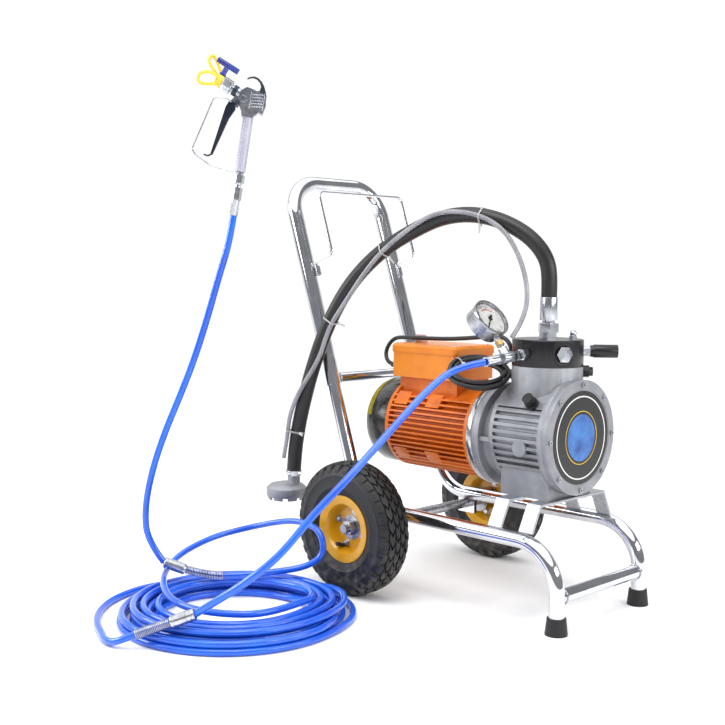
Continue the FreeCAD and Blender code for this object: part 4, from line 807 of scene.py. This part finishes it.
threads = [(0.0, 0.0128)] + [(0.0105 - 0.0009 * (k % 2),
                              0.0128 + 0.0008 * k) for k in range(11)] + [(0.0, 0.0208)]
lathe(ring_shape, threads, barrel, 40)
lathe(ring_shape, [(0, -0.0108), (0.0048, -0.0108), (0.0048, 0.0108), (0, 0.0108)],
      cheek @ Matrix.Translation((0.0225, 0.1190, 0)), 28)
place("gun_collar", ring_shape, hook_slate, "gun", "gun_silver", bevel=0.0002)
hook_shape = bmesh.new()
outer = [(-27.5, 137), (-24, 147), (-20, 156), (-14.5, 163.5), (-7.5, 168.6), (0.5, 170.2), (8.0, 167.8),
         (12.0, 164.2)]
inner = [(10.8, 162.6), (6.8, 165.2), (0.5, 166.8), (-6.0, 165.0), (-11.2, 160.6), (-14.4, 154.5),
         (-13.2, 147), (-6, 144.6)]
for n in range(len(outer) - 1):
    quad = [side(outer)[n], side(outer)[n + 1], side(inner)[len(inner) - 2 - n],
            side(inner)[len(inner) - 1 - n]]
    prism(hook_shape, quad, -0.0022, 0.0022, cheek)
bmesh.ops.remove_doubles(hook_shape, verts=hook_shape.verts, dist=1e-6)
hook_shape.verts.index_update()
twice = {}                                                    # walls that two neighbouring prisms share
for face in hook_shape.faces:
    twice.setdefault(tuple(sorted(v.index for v in face.verts)), []).append(face)
bmesh.ops.delete(hook_shape, geom=[f for group in twice.values() if len(group) > 1 for f in group],
                 context="FACES_ONLY")
place("gun_hook", hook_shape, hook_slate, "gun", "gun_silver", bevel=0.0005)

nut_shape = bmesh.new()
NUT = 0.0243
prism(nut_shape, hexagon(0.0240, 12), NUT + 0.0012, NUT + 0.0180, barrel)
lathe(nut_shape, [(0.0082, NUT + 0.0003), (0.0112, NUT + 0.0003), (0.0122, NUT + 0.0014),
                  (0.0082, NUT + 0.0014)], barrel, 48)
lathe(nut_shape, [(0.0082, NUT + 0.0178), (0.0122, NUT + 0.0178), (0.0110, NUT + 0.0192),
                  (0.0082, NUT + 0.0192)], barrel, 48)
place("tip_nut", nut_shape, zinc, "tip_guard", "gun_silver", bevel=0.0008)
saddle = bmesh.new()
BASE = NUT + 0.0195
lathe(saddle, [(0.0050, BASE), (0.0112, BASE), (0.0112, BASE + 0.0070), (0.0098, BASE + 0.0110),
               (0.0078, BASE + 0.0125),
               (0.0050, BASE + 0.0125)], barrel, 48)
place("tip_saddle", saddle, tip_yellow, "tip_guard", "tip_yellow", bevel=0.0005, replaced=("tip_guard",))


def guard_loop(name, points, thickness):
    """One closed loop of the guard; a point is along the barrel, up from it and out to the cheek."""
    placed = [barrel @ Vector((-up / 1000, y / 1000, BASE + 0.0060 + along / 1000)) for along, up,
              y in points]
    band = tube(name, placed, thickness, tip_yellow, 10, cyclic=True)
    settle(band, "tip_guard", "tip_yellow")


guard_loop("guard_loop_upper", [(1, 5, -6), (14, 10, -8.5), (33, 19, -12), (37, 28, -15), (34, 35, -18),
                                (27, 33, -20.5),
                                (18, 26, -21.5), (8, 18, -19), (1, 9, -10)], 0.0056)
guard_loop("guard_loop_lower", [(-2, -5, 5), (8, -13, 8), (22, -22.5, 12), (30, -21.5, 14),
                                (33.5, -13, 15.5), (31, -5, 16.5),
                                (21, 2, 17), (9, 4, 13), (1, 3, 7)], 0.0056)

stem_nut = bmesh.new()
stem_low = Vector(DIAL_AT) - 0.008 * FACE - 0.079 * FACE_UP
prism(stem_nut, hexagon(0.0146), 0.0258, 0.0352, Matrix.Translation(stem_low) @ stand((0, 0, 0), FACE_UP))
place("gauge_stem_nut", stem_nut, brass, "cart", "zinc", bevel=0.0006)

# ---------------------------------------------------------------- stem of the pressure knob
HEAD_RADIUS = 0.0660
knob_angle = math.radians(43.0)
stem_foot = Matrix.Translation((0.2960, 0, 0.4810)) @ stand((0, 0, 0), (math.cos(knob_angle),
                                                                        math.sin(knob_angle), 0))
stem_shape = bmesh.new()
lathe(stem_shape, [(0, HEAD_RADIUS - 0.0020), (0.0108, HEAD_RADIUS - 0.0020), (0.0108, HEAD_RADIUS + 0.0008),
                   (0.0068, HEAD_RADIUS + 0.0008), (0.0068, HEAD_RADIUS + 0.0440),
                   (0, HEAD_RADIUS + 0.0440)], stem_foot, 48)
prism(stem_shape, hexagon(0.0170), HEAD_RADIUS + 0.0004, HEAD_RADIUS + 0.0120, stem_foot)
place("pressure_stem", stem_shape, zinc, "cart", "zinc", bevel=0.0005)

# ---------------------------------------------------------------- return spring of the piston
spring_points = []
for n in range(131):
    a = 2 * math.pi * n / 26
    spring_points.append((0.296 + 0.0335 * math.cos(a), 0.0335 * math.sin(a), 0.3636 + 0.0402 * n / 130))
helix = tube("return_spring_line", spring_points, 0.0036, steel, 3)
wire_mesh = bpy.data.meshes.new_from_object(helix)
bpy.data.objects.remove(helix)
return_spring = bpy.data.objects.new("return_spring", wire_mesh)
bpy.context.scene.collection.objects.link(return_spring)
wire_mesh.shade_smooth()
settle(return_spring, "cart", "steel", ("piston_spring",))
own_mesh(return_spring)

# ---------------------------------------------------------------- finishes of the machined and moulded pieces
FINISHES = {
    chrome: "side_frame_right side_frame_left front_crossbar push_handle hose_rack",
    steel: "axle wheel_right_hub wheel_left_hub motor_bearings cover_screws rotor "
           "eccentric piston gauge_case",
    strap_zinc: "support_straps",
    zinc: "frame_bolts suction_fitting outlet_valve relief_valve outlet_tee swivel_fitting trigger_guard",
    foot_rubber: "rubber_feet", rim_paint: "wheel_right_rim wheel_left_rim",
    motor_paint: "motor_housing", box_paint: "terminal_box terminal_box_lid",
    plastic: "run_capacitor cable_gland oil_plugs power_plug cooling_fan", black_paint: "fan_cover",
    casting: "pump_casing front_cover suction_strainer", machined: "adapter_flange",
    anodised: "pump_head pressure_knob", inner_rubber: "diaphragm", copper: "stator",
    needle_paint: "gauge_needle", knob_pink: "switch_knob", grip_coat: "gun_grip",
    trigger_coat: "trigger", tip_blue: "tip_handle",
}
ROUNDING = {"pump_casing": 0.0012, "motor_housing": 0.0006, "terminal_box": 0.0008,
            "terminal_box_lid": 0.0010,
            "front_cover": 0.0012, "pump_head": 0.0004, "support_straps": 0.0008, "pressure_knob": 0.0008,
            "suction_fitting": 0.0005, "outlet_valve": 0.0006, "outlet_tee": 0.0005, "frame_bolts": 0.0005,
            "rubber_feet": 0.0012, "trigger": 0.0004, "tip_handle": 0.0010,
            "swivel_fitting": 0.0005, "oil_plugs": 0.0008, "switch_knob": 0.0008, "power_plug": 0.0012,
            "gauge_case": 0.0006,
            "suction_strainer": 0.0010, "fan_cover": 0.0004, "cable_gland": 0.0005, "adapter_flange": 0.0004}
for paint, names in FINISHES.items():
    for name in names.split():
        node = bpy.data.objects[name]
        for holder in node.material_slots:
            holder.material = paint
        if name in ROUNDING:
            weld = node.modifiers.new("joined", "WELD")
            weld.merge_threshold = 0.000002
            soften(node, ROUNDING[name])

# ---------------------------------------------------------------- floor and light
floor_shape = bmesh.new()
bmesh.ops.create_circle(floor_shape, cap_ends=True, radius=14.0, segments=96)
floor_mesh = bpy.data.meshes.new("studio_floor")
floor_shape.to_mesh(floor_mesh)
floor_shape.free()
studio_floor = bpy.data.objects.new("studio_floor", floor_mesh)
bpy.context.scene.collection.objects.link(studio_floor)
floor_mesh.materials.append(finish("floor_paper", (0.93, 0.93, 0.93, 1), (0.90, 0.90, 0.90, 1), 0.85, 0.05,
                                   relief=0.02))

sky = bpy.data.worlds.new("studio")
sky.use_nodes = True
bpy.context.scene.world = sky
toward = Sock(sky.node_tree).node("TexCoord", out=0)
east, north, rise = toward.axes()
backdrop_side = (north * 0.70 - east * 0.71).step(0.25, 0.62)
low_band = 1 - rise.step(0.28, 0.5)
sky_colour = (backdrop_side * low_band).blend((0.27, 0.275, 0.285, 1), (1.04, 1.04, 1.04, 1))
backing = sky.node_tree.nodes["Background"]
sky.node_tree.links.new(sky_colour.socket, backing.inputs["Color"])
backing.inputs["Strength"].default_value = 1.0


def softbox(name, at, aim, size, power):
    lamp = bpy.data.lights.new(name, "AREA")
    lamp.shape, lamp.size, lamp.size_y, lamp.energy = "RECTANGLE", size[0], size[1], power
    box = bpy.data.objects.new(name, lamp)
    box.matrix_world = stand(at, Vector(at) - Vector(aim))
    box.visible_camera = False
    bpy.context.scene.collection.objects.link(box)


softbox("top_box", (0.5, -0.9, 2.4), (0.1, -0.1, 0.3), (1.6, 1.2), 26)
softbox("left_box", (-1.7, -2.0, 1.3), (0.1, -0.2, 0.4), (0.7, 2.0), 30)
softbox("right_box", (2.3, 0.3, 1.2), (0.1, 0, 0.35), (0.5, 2.0), 26)
overhead = bpy.data.lights.new("overhead", "SUN")
overhead.energy, overhead.angle = 2.7, math.radians(110)
overhead_lamp = bpy.data.objects.new("overhead", overhead)
overhead_lamp.rotation_euler = (math.radians(8), math.radians(-6), 0)
bpy.context.scene.collection.objects.link(overhead_lamp)
scene = bpy.context.scene
scene.view_settings.view_transform = "Standard"
scene.view_settings.look = "None"
